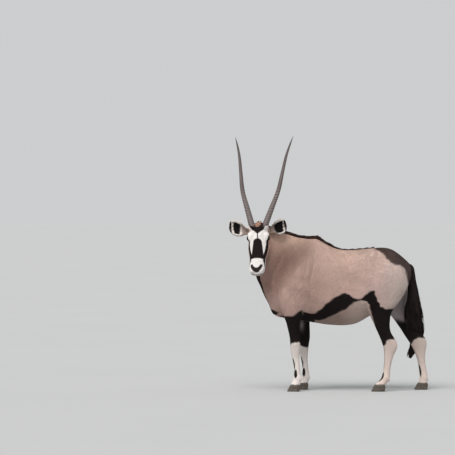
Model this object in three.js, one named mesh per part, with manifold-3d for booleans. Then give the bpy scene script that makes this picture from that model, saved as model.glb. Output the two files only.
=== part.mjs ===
// A life-size gemsbok bull, standing and looking to its left.
// Millimetres, +Z up. The body faces -X, its left side is -Y, and its hooves stand on Z = 0.
import * as THREE from "three";
import { mergeVertices, mergeGeometries } from "three/addons/utils/BufferGeometryUtils.js";
import Module from "manifold-3d";

const wasm = await Module();
wasm.setup();

// Driving dimensions
const withersHeight = 1196; // top of the shoulders, without the mane
const modelOffset = new THREE.Vector3(86.3, 32.2, 0); // moves the middle of the whole figure to X = Y = 0
const seam = 0.3; // gap between two nodes that meet
const hornLength = 834;
const hornRadius = 27;
const hornRings = 15;
const headPitch = 72; // degrees of the face below level
const headYaw = 9; // degrees past square to the body
const headRoll = -1;
const pollPoint = new THREE.Vector3(-642, -165, 1331);
const eyeRadius = 18;
const eyePlace = { along: 145, side: 69, up: 21 };
const earLength = 182;
const toeHeight = 48;
const toeSpread = 19; // from the middle of a foot to the middle of each toe

// Small maths helpers
const radians = THREE.MathUtils.degToRad;
const mix = THREE.MathUtils.lerp;
const vector = (x, y, z) => new THREE.Vector3(x, y, z);

// A seeded random number from 0 to 1, the same on every run
function randomSource(seed) {
  let state = seed;
  return () => {
    state = (state * 1664525 + 1013904223) % 4294967296;
    return state / 4294967296;
  };
}

// Rows of numbers, made denser by a cubic curve through them. The distance between two rows is that of their
// first `spaceSize` numbers, and a new row comes at about every `step`.
function smoothRows(rows, step, spaceSize) {
  const gap = (a, b) => Math.hypot(...a.slice(0, spaceSize).map((v, k) => v - b[k])) || 1e-6;
  const at = [0];
  for (let i = 1; i < rows.length; i++) at.push(at[i - 1] + gap(rows[i], rows[i - 1]));
  const slope = (i, k) => {
    const before = i > 0 ? (rows[i][k] - rows[i - 1][k]) / (at[i] - at[i - 1]) : null;
    const after = i < rows.length - 1 ? (rows[i + 1][k] - rows[i][k]) / (at[i + 1] - at[i]) : null;
    if (before === null) return after;
    if (after === null) return before;
    const share = (at[i] - at[i - 1]) / (at[i + 1] - at[i - 1]);
    return before * (1 - share) + after * share;
  };
  const made = [];
  for (let i = 0; i < rows.length - 1; i++) {
    const length = at[i + 1] - at[i];
    const count = Math.max(1, Math.round(length / step));
    for (let j = 0; j < count; j++) {
      const t = j / count;
      made.push(
        rows[i].map((value, k) => {
          const next = rows[i + 1][k];
          const t2 = t * t;
          const t3 = t2 * t;
          return (
            value * (2 * t3 - 3 * t2 + 1) +
            next * (3 * t2 - 2 * t3) +
            slope(i, k) * length * (t3 - 2 * t2 + t) +
            slope(i + 1, k) * length * (t3 - t2)
          );
        }),
      );
    }
  }
  made.push([...rows[rows.length - 1]]);
  return made;
}

// A section is eleven numbers: its top point, its bottom point, its half width as a vector, how square it is
// (1 is an ellipse, less is squarer) and how much narrower it is at the top than at the bottom.
function sectionRing(section, sides) {
  const [tx, ty, tz, bx, by, bz, sx, sy, sz, square, egg] = section;
  const ring = [];
  for (let i = 0; i < sides; i++) {
    const turn = (2 * Math.PI * i) / sides;
    const up = Math.sign(Math.sin(turn)) * Math.abs(Math.sin(turn)) ** square;
    const out = Math.sign(Math.cos(turn)) * Math.abs(Math.cos(turn)) ** square * (1 - egg * up);
    ring.push([
      (tx + bx) / 2 + ((tx - bx) / 2) * up + sx * out,
      (ty + by) / 2 + ((ty - by) / 2) * up + sy * out,
      (tz + bz) / 2 + ((tz - bz) / 2) * up + sz * out,
    ]);
  }
  return ring;
}

// A closed geometry through rings of points, with a pole at each end
function ringGeometry(rings) {
  const sides = rings[0].length;
  const middle = (ring) => [0, 1, 2].map((k) => ring.reduce((sum, p) => sum + p[k], 0) / sides);
  const points = [...rings.flat(), middle(rings[0]), middle(rings[rings.length - 1])];
  const firstPole = rings.length * sides;
  const index = [];
  for (let i = 0; i < rings.length - 1; i++)
    for (let j = 0; j < sides; j++) {
      const a = i * sides + j;
      const b = i * sides + ((j + 1) % sides);
      index.push(a, b, b + sides, a, b + sides, a + sides);
    }
  const last = (rings.length - 1) * sides;
  for (let j = 0; j < sides; j++) {
    const next = (j + 1) % sides;
    index.push(firstPole, next, j, firstPole + 1, last + j, last + next);
  }
  const geometry = new THREE.BufferGeometry();
  geometry.setAttribute("position", new THREE.Float32BufferAttribute(points.flat(), 3));
  geometry.setIndex(index);
  return geometry;
}

// A closed geometry as a solid, its faces turned to point out
function solidOf(geometry) {
  const bare = geometry.clone();
  for (const name of Object.keys(bare.attributes)) if (name !== "position") bare.deleteAttribute(name);
  const merged = mergeVertices(bare, 1e-4);
  const make = (triVerts) =>
    new wasm.Manifold(new wasm.Mesh({ numProp: 3, vertProperties: merged.attributes.position.array, triVerts }));
  const faces = new Uint32Array(merged.index.array);
  const solid = make(faces);
  if (solid.volume() > 0) return solid;
  for (let i = 0; i < faces.length; i += 3) [faces[i + 1], faces[i + 2]] = [faces[i + 2], faces[i + 1]];
  return make(faces);
}

function geometryOf(solid) {
  const mesh = solid.getMesh();
  const geometry = new THREE.BufferGeometry();
  const places = new Float32Array(mesh.numVert * 3);
  for (let i = 0; i < mesh.numVert; i++)
    for (let k = 0; k < 3; k++) places[3 * i + k] = mesh.vertProperties[i * mesh.numProp + k];
  geometry.setAttribute("position", new THREE.BufferAttribute(places, 3));
  geometry.setIndex(new THREE.BufferAttribute(new Uint32Array(mesh.triVerts), 1));
  return geometry;
}

const loft = (sections, sides, step) =>
  solidOf(ringGeometry(smoothRows(sections, step, 9).map((section) => sectionRing(section, sides))));
const joined = (solids) => solids.reduce((sum, solid) => sum.add(solid));
const largest = (solid) => solid.decompose().reduce((best, piece) => (piece.volume() > best.volume() ? piece : best));

// A round, squashed lump
function lump(place, radii, across = 10, matrix = new THREE.Matrix4()) {
  const ball = new THREE.SphereGeometry(1, across, Math.round(across * 0.7));
  ball.scale(...radii).translate(place.x, place.y, place.z).applyMatrix4(matrix);
  return solidOf(ball);
}

// Torso: where it is along the body, its top, its bottom, its half width, and its egg shape
const torsoRows = [
  [-552, 780, 655, 42, 0, 1],
  [-538, 860, 612, 82, 0, 1],
  [-495, 970, 580, 124, 0.05, 0.95],
  [-430, 1065, 567, 154, 0.15, 0.92],
  [-360, 1140, 556, 174, 0.24, 0.9],
  [-280, 1180, 545, 188, 0.31, 0.88],
  [-195, withersHeight, 531, 199, 0.35, 0.88],
  [-110, 1154, 518, 211, 0.28, 0.88],
  [-40, 1120, 512, 221, 0.2, 0.88],
  [40, 1106, 511, 229, 0.14, 0.88],
  [120, 1108, 524, 229, 0.1, 0.88],
  [196, 1115, 562, 221, 0.08, 0.9],
  [265, 1121, 606, 208, 0.06, 0.92],
  [340, 1127, 648, 200, 0.08, 0.93],
  [400, 1115, 690, 190, 0.1, 0.95],
  [460, 1078, 735, 168, 0.1, 1],
  [512, 1034, 785, 132, 0.05, 1],
  [546, 1002, 838, 88, 0, 1],
  [562, 970, 885, 42, 0, 1],
];
const torsoSection = ([x, top, bottom, half, egg, square]) => [x, 0, top, x, 0, bottom, 0, half, 0, square, egg];

// Neck: its crest point, its throat point, the heading in degrees from -X towards -Y, its half width, its egg shape
const neckRows = [
  [[-165, 0, 1120], [-430, 0, 600], 0, 118, 0.1],
  [[-250, 0, 1192], [-530, 0, 642], 0, 146, 0.15],
  [[-330, -6, 1206], [-583, -6, 716], 5, 138, 0.2],
  [[-405, -20, 1229], [-612, -25, 790], 14, 124, 0.2],
  [[-475, -44, 1249], [-630, -52, 862], 26, 111, 0.18],
  [[-545, -82, 1272], [-640, -84, 940], 40, 99, 0.15],
  [[-600, -124, 1296], [-646, -108, 1020], 52, 87, 0.1],
  [[-632, -158, 1312], [-648, -126, 1085], 60, 74, 0],
  [[-644, -172, 1292], [-648, -150, 1140], 60, 48, 0],
];
const neckSection = ([crest, throat, heading, half, egg]) => [
  ...crest, ...throat, half * Math.sin(radians(heading)), -half * Math.cos(radians(heading)), 0, 0.92, egg,
];

// Legs: height, front, back, middle across, half width. The middle is towards the outside on either side.
const foreRows = [
  [1100, -292, -205, 70, 40],
  [1010, -365, -178, 92, 74],
  [900, -440, -172, 110, 89],
  [800, -492, -190, 121, 90],
  [720, -503, -222, 125, 85],
  [655, -480, -262, 126, 75],
  [605, -455, -292, 124, 65],
  [545, -427, -316, 122, 55],
  [480, -410, -319, 120, 46],
  [425, -398, -315, 118, 39],
  [385, -394, -312, 117, 38],
  [345, -392, -312, 117, 37],
  [306, -388, -316, 117, 32],
  [265, -379, -320, 117, 26],
  [225, -370, -319, 117, 24],
  [180, -363, -315, 117, 24],
  [140, -362, -310, 117, 27],
  [104, -368, -304, 117, 31],
  [76, -379, -309, 117, 32],
  [toeHeight, -390, -316, 117, 34],
];
const hindRows = [
  [1092, 330, 415, 80, 45],
  [1025, 268, 478, 104, 84],
  [940, 230, 520, 118, 99],
  [850, 210, 535, 122, 101],
  [793, 200, 520, 124, 98],
  [730, 194, 483, 126, 92],
  [675, 200, 443, 127, 84],
  [628, 214, 405, 127, 74],
  [589, 232, 391, 126, 66],
  [548, 252, 387, 125, 58],
  [502, 272, 387, 124, 49],
  [460, 291, 396, 122, 41],
  [420, 308, 420, 120, 36],
  [388, 321, 440, 119, 34],
  [350, 333, 446, 118, 33],
  [320, 339, 436, 118, 31],
  [287, 342, 420, 118, 28],
  [245, 341, 405, 118, 26],
  [204, 338, 396, 118, 25],
  [165, 333, 390, 118, 26],
  [128, 326, 388, 118, 29],
  [98, 314, 386, 118, 32],
  [72, 290, 369, 118, 32],
  [toeHeight, 268, 350, 118, 34],
];
const stretchedHindRows = [
  [1092, 330, 415, 80, 45],
  [1025, 272, 480, 104, 84],
  [940, 240, 524, 118, 99],
  [850, 226, 543, 122, 101],
  [793, 228, 546, 124, 98],
  [730, 250, 546, 126, 91],
  [675, 292, 546, 127, 82],
  [628, 348, 547, 127, 72],
  [600, 390, 549, 126, 66],
  [557, 427, 557, 125, 57],
  [512, 459, 576, 124, 47],
  [475, 485, 603, 122, 40],
  [442, 505, 640, 120, 36],
  [414, 523, 673, 119, 34],
  [384, 544, 687, 118, 34],
  [350, 566, 689, 118, 32],
  [320, 581, 684, 118, 30],
  [287, 595, 679, 118, 28],
  [245, 611, 677, 118, 26],
  [204, 620, 680, 118, 25],
  [165, 627, 686, 118, 26],
  [128, 632, 694, 118, 29],
  [98, 634, 699, 118, 32],
  [72, 628, 698, 118, 32],
  [toeHeight, 618, 697, 118, 34],
];
const strideBack = 70; // how far the right foreleg stands behind the left one
const rightForeRows = foreRows.map(([height, front, back, middle, half]) => {
  const share = THREE.MathUtils.smoothstep(820 - height, 0, 300);
  return [height, front + strideBack * share, back + strideBack * share, middle, half];
});
const legSection = (hand) => ([height, front, back, middle, half]) => [
  front, hand * middle, height, back, hand * middle, height, 0, hand * half, 0, 0.94, 0,
];
const legs = {
  foreleg_left: { rows: foreRows, hand: -1 },
  foreleg_right: { rows: rightForeRows, hand: 1 },
  hindleg_left: { rows: hindRows, hand: -1 },
  hindleg_right: { rows: stretchedHindRows, hand: 1 },
};

// Head: how far along from the poll to the nose, its upper and lower line off the middle, its half width
const headRows = [
  [14, 6, -44, 32, 1, 0],
  [28, 38, -74, 57, 0.95, 0],
  [52, 61, -92, 70, 0.92, 0],
  [85, 72, -98, 76, 0.9, 0.02],
  [122, 70, -102, 80, 0.88, 0.05],
  [155, 64, -104, 81, 0.88, 0.06],
  [198, 57, -98, 78, 0.88, 0.06],
  [248, 51, -84, 72, 0.86, 0.08],
  [298, 46, -66, 63, 0.84, 0.08],
  [340, 43, -56, 59, 0.82, 0.05],
  [376, 40, -51, 60, 0.8, 0.02],
  [404, 30, -48, 58, 0.84, -0.02],
  [424, 14, -42, 47, 0.9, 0],
  [436, -4, -32, 28, 1, 0],
];
const headSection = ([along, upper, lower, half, square, egg]) => [0, upper, along, 0, lower, along, half, 0, 0, square, egg];

// The head's own frame: X to its left, Y out of its forehead, Z along the face to the nose
const headFrame = new THREE.Matrix4()
  .makeTranslation(pollPoint.x, pollPoint.y, pollPoint.z)
  .multiply(new THREE.Matrix4().makeRotationZ(radians(-headYaw)))
  .multiply(new THREE.Matrix4().makeRotationY(radians(headRoll)))
  .multiply(
    new THREE.Matrix4().makeBasis(
      vector(1, 0, 0),
      vector(0, -Math.sin(radians(headPitch)), Math.cos(radians(headPitch))),
      vector(0, -Math.cos(radians(headPitch)), -Math.sin(radians(headPitch))),
    ),
  );
const inHead = (geometry) => solidOf(geometry.clone().applyMatrix4(headFrame));
const headLump = (side, up, along, radii, across = 8) => lump(vector(side, up, along), radii, across, headFrame);

// A tube of few sides along points
function tube(points, radius, steps, sides = 6) {
  const outline = new THREE.Shape();
  for (let i = 0; i < sides; i++) {
    const turn = (2 * Math.PI * i) / sides;
    const place = [radius * Math.cos(turn), radius * Math.sin(turn)];
    if (i) outline.lineTo(...place);
    else outline.moveTo(...place);
  }
  outline.closePath();
  return new THREE.ExtrudeGeometry(outline, {
    steps,
    bevelEnabled: false,
    extrudePath: new THREE.CatmullRomCurve3(points),
  });
}

// A flat, tapered lock of hair along points: widest a third of the way, and flat across `across`
function lock(points, across, width, thickness, sides = 4) {
  const sections = points.map((point, i) => {
    const t = i / (points.length - 1);
    const taper = Math.max(0.05, Math.sin(Math.PI * mix(0.3, 1, t) ** 1.2));
    const ahead = points[Math.min(i + 1, points.length - 1)].clone().sub(points[Math.max(i - 1, 0)]);
    const side = across.clone().addScaledVector(ahead, -across.dot(ahead) / ahead.lengthSq()).normalize();
    const up = ahead.clone().cross(side).normalize();
    const high = point.clone().addScaledVector(up, thickness * taper * 0.5);
    const low = point.clone().addScaledVector(up, -thickness * taper * 0.5);
    return [...high, ...low, ...side.multiplyScalar(width * taper * 0.5), 1, 0];
  });
  return solidOf(ringGeometry(sections.map((section) => sectionRing(section, sides))));
}

// The line of the crest, from the poll over the withers to the middle of the back
const crestRows = smoothRows(
  [
    [-628, -152, 1306], ...neckRows.slice(2, 7).reverse().map(([crest]) => crest),
    [-262, 0, 1190], [-195, 0, withersHeight], [-110, 0, 1154], [-40, 0, 1120], [40, 0, 1106],
  ],
  30,
  3,
);

// Mane: short upright locks along the crest, leaning back
function maneLocks() {
  const random = randomSource(7);
  const rootDepth = 10;
  return crestRows.slice(1, -1).map(([x, y, z], i, all) => {
    const [nextX, nextY, nextZ] = crestRows[i + 2];
    const back = vector(nextX - x, nextY - y, nextZ - z).normalize();
    const across = vector(-back.y, back.x, 0).normalize();
    const side = (i % 2 ? 1 : -1) * 3;
    const full = Math.min(1, 0.55 + i / 7, (all.length - i) / 5);
    const height = (13 + 5 * random()) * full;
    const length = (38 + 14 * random()) * full;
    const root = vector(x, y, z - rootDepth).addScaledVector(across, side);
    const points = [0, 0.5, 1].map((t) =>
      root
        .clone()
        .add(vector(0, 0, (rootDepth + height) * Math.sin((Math.PI / 2) * t)))
        .addScaledVector(back, length * t ** 1.6)
        .addScaledVector(across, side * 0.6 * t),
    );
    return lock(points, back, 34, 11);
  });
}

// The tuft between the horns, lying forward over the forehead
function forelock() {
  const random = randomSource(11);
  return [-18, -9, 0, 9, 18].map((side) => {
    const reach = 26 + 8 * random();
    const points = [0, 0.4, 0.75, 1].map((t) =>
      vector(side * (1 - 0.2 * t), 42 + 32 * Math.sin(Math.PI * 0.6 * t), 34 + reach * t).applyMatrix4(headFrame),
    );
    return lock(points, vector(1, 0, 0), 12, 6);
  });
}

// Tail: its middle line with its half width across the body's length and across the body's width
const tailRows = [
  [524, 0, 984, 24, 24],
  [548, 0, 966, 28, 25],
  [560, 2, 920, 29, 24],
  [565, 5, 860, 33, 24],
  [572, 9, 795, 41, 27],
  [577, 18, 715, 51, 34],
  [578, 40, 636, 67, 40],
  [588, 72, 557, 73, 40],
  [610, 122, 488, 58, 36],
  [616, 178, 430, 44, 32],
  [592, 208, 370, 42, 27],
  [566, 214, 300, 36, 20],
  [546, 212, 238, 16, 10],
];
const tailLocks = 22;

const tailPath = smoothRows(tailRows, 12, 3);

// A place in the tail: t from root to tip, turn round its middle line, and share of its half widths, in a section
// square to the middle line
function inTail(t, turn, share, grow = 0) {
  const at = Math.min(Math.max(t, 0), 0.9999) * (tailPath.length - 1);
  const i = Math.floor(at);
  const [x, y, z, long, wide] = tailPath[i].map((v, k) => mix(v, tailPath[i + 1][k], at - i));
  const [ax, ay, az] = tailPath[Math.max(i - 2, 0)];
  const [bx, by, bz] = tailPath[Math.min(i + 3, tailPath.length - 1)];
  const ahead = vector(bx - ax, by - ay, bz - az).normalize();
  const out = vector(0, 1, 0).addScaledVector(ahead, -ahead.y).normalize();
  const back = out.clone().cross(ahead);
  return vector(x, y, z)
    .addScaledVector(back, (long * share + grow) * Math.cos(turn))
    .addScaledVector(out, (wide * share + grow) * Math.sin(turn))
    .addScaledVector(ahead, t === 0 ? -grow : 0);
}

function tailSolid(grow = 0) {
  const random = randomSource(23);
  const coreLength = 0.8;
  const coreRings = Array.from({ length: 15 }, (_, i) => {
    const t = (coreLength * i) / 14;
    const share = mix(0.94, 0.5, THREE.MathUtils.smoothstep(t, 0.3, 0.6));
    return Array.from({ length: 10 }, (_, j) => inTail(t, (2 * Math.PI * j) / 10, share, grow).toArray());
  });
  const core = solidOf(ringGeometry(coreRings));
  if (grow) return core;
  const locks = [];
  for (let i = 0; i < tailLocks; i++) {
    const start = mix(0.2, 0.66, i / (tailLocks - 1));
    const length = mix(0.26, 0.36, random());
    const turn = i * 2.4;
    const end = Math.min(1, start + length);
    const points = [0, 0.3, 0.65, 1].map((t) =>
      inTail(mix(start, end, t), turn + 0.5 * (random() - 0.5), mix(0.2, mix(0.8, 1, random()), Math.sqrt(t))),
    );
    locks.push(lock(points, vector(-Math.sin(turn), Math.cos(turn), 0), 42, 15));
  }
  return core.subtract(widerLegs()).add(joined(locks).subtract(widerLegs()).subtract(widerTorso()));
}

// The legs and the torso, a little wider, to keep the tail's hair clear of them
const widerLegs = () =>
  joined(
    Object.values(legs).map(({ rows, hand }) =>
      loft(
        rows.map(([height, front, back, middle, half]) =>
          legSection(hand)([height, front - 3, back + 3, middle, half + 3]),
        ),
        12,
        46,
      ),
    ),
  );
const widerTorso = () =>
  loft(
    torsoRows.map(([x, top, bottom, half, egg, square]) => torsoSection([x * 1.006, top + 3, bottom - 3, half + 3, egg, square])),
    22,
    62,
  );

// Horns: share of the length, distance from the head's middle, radius, and how far they bend back
const hornRows = [
  [-0.03, 43, 27, 0],
  [0, 49, hornRadius, 0],
  [0.2, 96, 23.5, 0],
  [0.38, 139, 18.5, 3],
  [0.6, 166, 13.8, 12],
  [0.8, 190, 10.5, 26],
  [0.93, 215, 6.4, 38],
  [1, 231, 1.4, 44],
];
const hornSway = 9; // both horns stand this much to the left at their roots
const hornRoot = { along: 62, up: 48 };
const hornLean = 12; // degrees that the horns lean back from the line of the face

function hornSolid(hand, grow = 0) {
  const steps = hornRings * 2 + 10;
  const rows = smoothRows(hornRows, 1 / 200, 1);
  const ringed = 0.5; // the share of the horn that carries rings
  const rings = [];
  for (let i = 0; i <= steps; i++) {
    const ringSteps = hornRings * 2;
    const t = i <= ringSteps ? mix(-0.03, ringed, i / ringSteps) : mix(ringed, 1, (i - ringSteps) / (steps - ringSteps));
    const row = rows.reduce((best, r) => (Math.abs(r[0] - t) < Math.abs(best[0] - t) ? r : best));
    const [, side, radius, bend] = row;
    const fade = Math.max(0, 1 - t / ringed);
    const swell = i <= ringSteps && i % 2 ? 2.4 * Math.min(1, fade * 2.2) : 0;
    const reach = hornLength * t - (i === 0 ? grow : 0);
    const along = hornRoot.along - reach * Math.cos(radians(hornLean));
    const up = hornRoot.up - reach * Math.sin(radians(hornLean)) - bend;
    const sides = 9;
    rings.push(
      Array.from({ length: sides }, (_, j) => {
        const turn = (2 * Math.PI * j) / sides;
        const r = radius + swell + grow;
        const across = hand * (side + r * Math.cos(turn)) + hornSway * (1 - t);
        return [across, up + r * Math.sin(turn), along - 0.3 * r * Math.cos(turn)];
      }),
    );
  }
  return inHead(ringGeometry(rings));
}

// Ears: a cup along its axis. Share of the length, half width, and how far it wraps round in degrees
const earRows = [
  [-0.12, 22, 150],
  [0, 27, 140],
  [0.15, 39, 112],
  [0.35, 54, 84],
  [0.6, 62, 66],
  [0.8, 57, 56],
  [0.93, 40, 48],
  [1, 12, 40],
];
const earRoot = vector(66, -28, 76); // in the head's frame, for the left ear
const earAxes = { 1: vector(0.77, -0.44, -0.38).normalize(), "-1": vector(0.97, -0.1, -0.28).normalize() };
const earFacing = vector(0.12, 0.86, -0.3);

function earSolid(hand, grow = 0) {
  const across = 6;
  const thick = 6;
  const along = earAxes[hand].clone();
  const facing = earFacing.clone().addScaledVector(along, -earFacing.dot(along)).normalize();
  const wide = along.clone().cross(facing);
  const rows = smoothRows(earRows, 0.17, 1);
  const skin = (outer) =>
    rows.map(([t, half, wrap], i) =>
      Array.from({ length: across + 1 }, (_, j) => {
        const radius = half / Math.sin(Math.min(Math.PI / 2, radians(wrap)));
        const edge = Math.abs((2 * j) / across - 1);
        const wall = thick * mix(1, 0.6, Math.max(0, t)) * (1 - 0.5 * edge);
        const turn = (radians(wrap) + grow / radius) * ((2 * j) / across - 1);
        const r = outer ? radius + grow : Math.max(radius - wall, radius * 0.3) - grow;
        const past = i === 0 ? -grow : 0;
        return earRoot
          .clone()
          .addScaledVector(along, earLength * t + past)
          .addScaledVector(wide, r * Math.sin(turn))
          .addScaledVector(facing, radius - r * Math.cos(turn) - half * 0.6)
          .toArray();
      }),
    );
  const outside = skin(true);
  const inside = skin(false);
  const rings = outside.map((row, i) => [...row, ...inside[i].slice().reverse()]);
  const geometry = ringGeometry(rings.map((ring) => ring.map(([x, y, z]) => [hand * x, y, z])));
  return inHead(geometry);
}

// Hooves: two pointed toes to a foot, flat on the ground
function toeSolid(front, back, middle, side) {
  const place = middle + side * toeSpread;
  const halfWidth = 16.5;
  const rows = [
    [0, front - 26, back - 6, 0.9],
    [7, front - 25, back - 4, 1],
    [22, front - 17, back - 1, 1],
    [toeHeight - seam, front - 2, back - 1, 0.98],
  ];
  const sections = rows.map(([height, toe, heel, full]) => [
    toe, place - side * 3 * (1 - height / toeHeight), height, heel, place, height, 0, halfWidth * full, 0, 0.85, 0.32,
  ]);
  return loft(sections, 10, 60);
}

// Parting planes, each a point and the direction that leads out of the node it cuts
const neckPlane = { point: vector(-250, 0, 1211), out: vector(-552, 0, 300).normalize() };
const headPlane = { point: vector(-612, -110, 1180), out: vector(-0.53, -0.79, 0.31).normalize() };
const beyond = (solid, { point, out }, gap = 0) => solid.trimByPlane(out.toArray(), point.dot(out) + gap);
const before = (solid, { point, out }, gap = 0) =>
  solid.trimByPlane(out.clone().negate().toArray(), -(point.dot(out) - gap));

// The part of space that a leg takes from the body, as seen from the side, under a plane that rises outwards
function legSpace(name, hand, gap) {
  const fore = name.startsWith("fore");
  const outline = fore
    ? [[-620, 20], [-620, 690], [-470, 800], [-380, 850], [-250, 850], [-205, 760], [-240, 590], [-200, 300], [-120, 20]]
    : [[100, 20], [214, 560], [196, 640], [214, 742], [330, 830], [640, 1010], [900, 760], [900, 20]];
  const middle = outline.reduce((sum, [x, z]) => [sum[0] + x / outline.length, sum[1] + z / outline.length], [0, 0]);
  const shape = new THREE.Shape(
    outline.map(([x, z]) => {
      const away = Math.hypot(x - middle[0], z - middle[1]);
      const share = 1 - (gap * 1.3) / away;
      return new THREE.Vector2(middle[0] + (x - middle[0]) * share, middle[1] + (z - middle[1]) * share);
    }),
  );
  const prism = new THREE.ExtrudeGeometry(shape, { depth: 500, bevelEnabled: false });
  prism.rotateX(Math.PI / 2).translate(0, hand > 0 ? 500 : 0, 0);
  const inner = fore ? 500 : 520;
  const rise = fore ? 1.75 : 1.5;
  const lean = fore ? 0 : 0.55;
  const out = vector(-lean, -hand * rise, 1).normalize();
  const point = vector(fore ? 0 : 230, 0, inner);
  const space = before(solidOf(prism), { point, out }, gap);
  return space.trimByPlane([0, hand, 0], gap * 0.5);
}

// The whole body as one solid
const torso = loft(torsoRows.map(torsoSection), 22, 62);
const neck = loft(neckRows.map(neckSection), 20, 60);
const legSolids = Object.fromEntries(
  Object.entries(legs).map(([name, { rows, hand }]) => [name, loft(rows.map(legSection(hand)), 12, 46)]),
);
const dewclaws = Object.values(legs).flatMap(({ rows, hand }) => {
  const [height, , back, middle] = rows[rows.length - 3];
  return [-1, 1].map((side) => lump(vector(back - 3, hand * middle + side * 15, height - 8), [8, 8, 13], 6));
});
const body = joined([torso, neck, ...Object.values(legSolids), ...dewclaws, ...maneLocks()]);

// The head with its cheeks, brows, lids and lips, and what is hollowed out of it
function headSolids() {
  const skull = inHead(ringGeometry(smoothRows(headRows.map(headSection), 34, 9).map((s) => sectionRing(s, 18))));
  const added = [skull];
  const removed = [];
  for (const hand of [-1, 1]) {
    added.push(headLump(hand * 52, -42, 160, [28, 54, 66])); // cheek
    added.push(headLump(hand * 53, 22, 130, [31, 32, 50])); // brow
    added.push(headLump(hand * 66, 20, 146, [23, 23, 29])); // lids
    added.push(headLump(hand * 33, 11, 394, [23, 26, 33])); // nostril wing
    added.push(headLump(hand * 42, 42, 60, [32, 30, 34])); // root of the horn
    added.push(headLump(hand * 56, -26, 62, [30, 34, 38])); // root of the ear
    removed.push(headLump(hand * 30, 26, 408, [8, 12, 20], 8)); // nostril
    removed.push(headLump(hand * 90, 21, 146, [15, 9, 16.5], 10)); // between the lids
  }
  added.push(headLump(0, -34, 408, [38, 22, 30])); // chin
  added.push(...forelock());
  const mouth = [
    [-57, -28, 344], [-60, -25, 378], [-54, -22, 410], [-32, -20, 434], [0, -19, 441],
    [32, -20, 434], [54, -22, 410], [60, -25, 378], [57, -28, 344],
  ].map((p) => vector(...p));
  removed.push(inHead(tube(mouth, 3.6, 16, 4)));
  for (const hand of [-1, 1])
    removed.push(headLump(hand * eyePlace.side, eyePlace.up, eyePlace.along, [1, 1, 1].map(() => eyeRadius + seam), 12));
  for (const hand of [-1, 1]) removed.push(hornSolid(hand, seam), earSolid(hand, seam));
  return [joined(added), joined(removed)];
}

// Parting the body into its nodes
const spaces = (gap) => Object.entries(legs).map(([name, { hand }]) => [name, legSpace(name, hand, gap)]);
const [headFlesh, headHollows] = headSolids();
const headNode = largest(beyond(body.add(headFlesh), headPlane, seam).subtract(headHollows));
const rest = before(body, headPlane);
const neckNode = largest(beyond(rest, neckPlane, seam).subtract(headHollows));
const trunk = before(rest, neckPlane);
const torsoNode = largest(spaces(0).reduce((left, [, space]) => left.subtract(space), trunk.subtract(tailSolid(seam * 1.5))));
const legNodes = spaces(seam).map(([name, space]) => [name, largest(trunk.intersect(space))]);
const earNodes = [["ear_left", 1], ["ear_right", -1]].map(([name, hand]) => [name, earSolid(hand)]);
const hornNodes = [["horn_left", 1], ["horn_right", -1]].map(([name, hand]) => [name, hornSolid(hand)]);
const tailNode = largest(tailSolid());
const eyeNodes = [["eye_left", 1], ["eye_right", -1]].map(([name, hand]) => [
  name,
  headLump(hand * eyePlace.side, eyePlace.up, eyePlace.along, [1, 1, 1].map(() => eyeRadius), 12),
]);
const toeNodes = Object.entries(legs).flatMap(([name, { rows, hand }]) => {
  const [, front, back, middle] = rows[rows.length - 1];
  return [["inner", -1], ["outer", 1]].map(([which, side]) => [
    `toe_${which}_${name}`,
    toeSolid(front, back, hand * middle, hand * side),
  ]);
});

const coats = {
  coat_tan: { color: 0xb99a8b, roughness: 0.85, metalness: 0 },
  coat_dark: { color: 0x231a19, roughness: 0.8, metalness: 0 },
  coat_pale: { color: 0xcfc5be, roughness: 0.85, metalness: 0 },
  horn: { color: 0x6f6259, roughness: 0.55, metalness: 0 },
  hoof: { color: 0x2d2724, roughness: 0.5, metalness: 0 },
  eye: { color: 0x120c09, roughness: 0.1, metalness: 0 },
};

const model = new THREE.Group();
function place(name, solid, coat) {
  const mesh = new THREE.Mesh(geometryOf(solid), new THREE.MeshStandardMaterial(coats[coat]));
  mesh.name = name;
  mesh.position.copy(modelOffset);
  model.add(mesh);
}

place("torso", torsoNode, "coat_tan");
place("neck", neckNode, "coat_tan");
place("head", headNode, "coat_pale");
place("tail", tailNode, "coat_dark");
for (const [name, solid] of legNodes) place(name, solid, "coat_pale");
for (const [name, solid] of earNodes) place(name, solid, "coat_pale");
for (const [name, solid] of hornNodes) place(name, solid, "horn");
for (const [name, solid] of eyeNodes) place(name, solid, "eye");
for (const [name, solid] of toeNodes) place(name, solid, "hoof");

export default model;
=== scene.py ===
import math

import bmesh
import bpy
import numpy as np
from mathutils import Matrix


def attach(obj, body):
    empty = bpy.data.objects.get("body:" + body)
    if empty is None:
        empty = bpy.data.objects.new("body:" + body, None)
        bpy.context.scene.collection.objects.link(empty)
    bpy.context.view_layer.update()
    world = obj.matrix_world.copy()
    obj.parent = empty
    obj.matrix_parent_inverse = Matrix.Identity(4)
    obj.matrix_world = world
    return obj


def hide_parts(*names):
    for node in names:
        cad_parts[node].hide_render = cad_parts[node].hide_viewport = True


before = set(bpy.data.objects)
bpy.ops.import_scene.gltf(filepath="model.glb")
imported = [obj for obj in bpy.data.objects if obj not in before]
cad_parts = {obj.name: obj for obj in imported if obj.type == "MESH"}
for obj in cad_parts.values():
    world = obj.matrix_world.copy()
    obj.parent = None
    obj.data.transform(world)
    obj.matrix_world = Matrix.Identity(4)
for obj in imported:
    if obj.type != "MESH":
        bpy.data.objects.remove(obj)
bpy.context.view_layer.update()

# A standing gemsbok bull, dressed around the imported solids.
# Shapes are in millimetres in the maker's own frame: X to the tail, Y to the animal's right, Z up.
MODEL_OFFSET = np.array([86.3, 32.2, 0.0])

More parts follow.
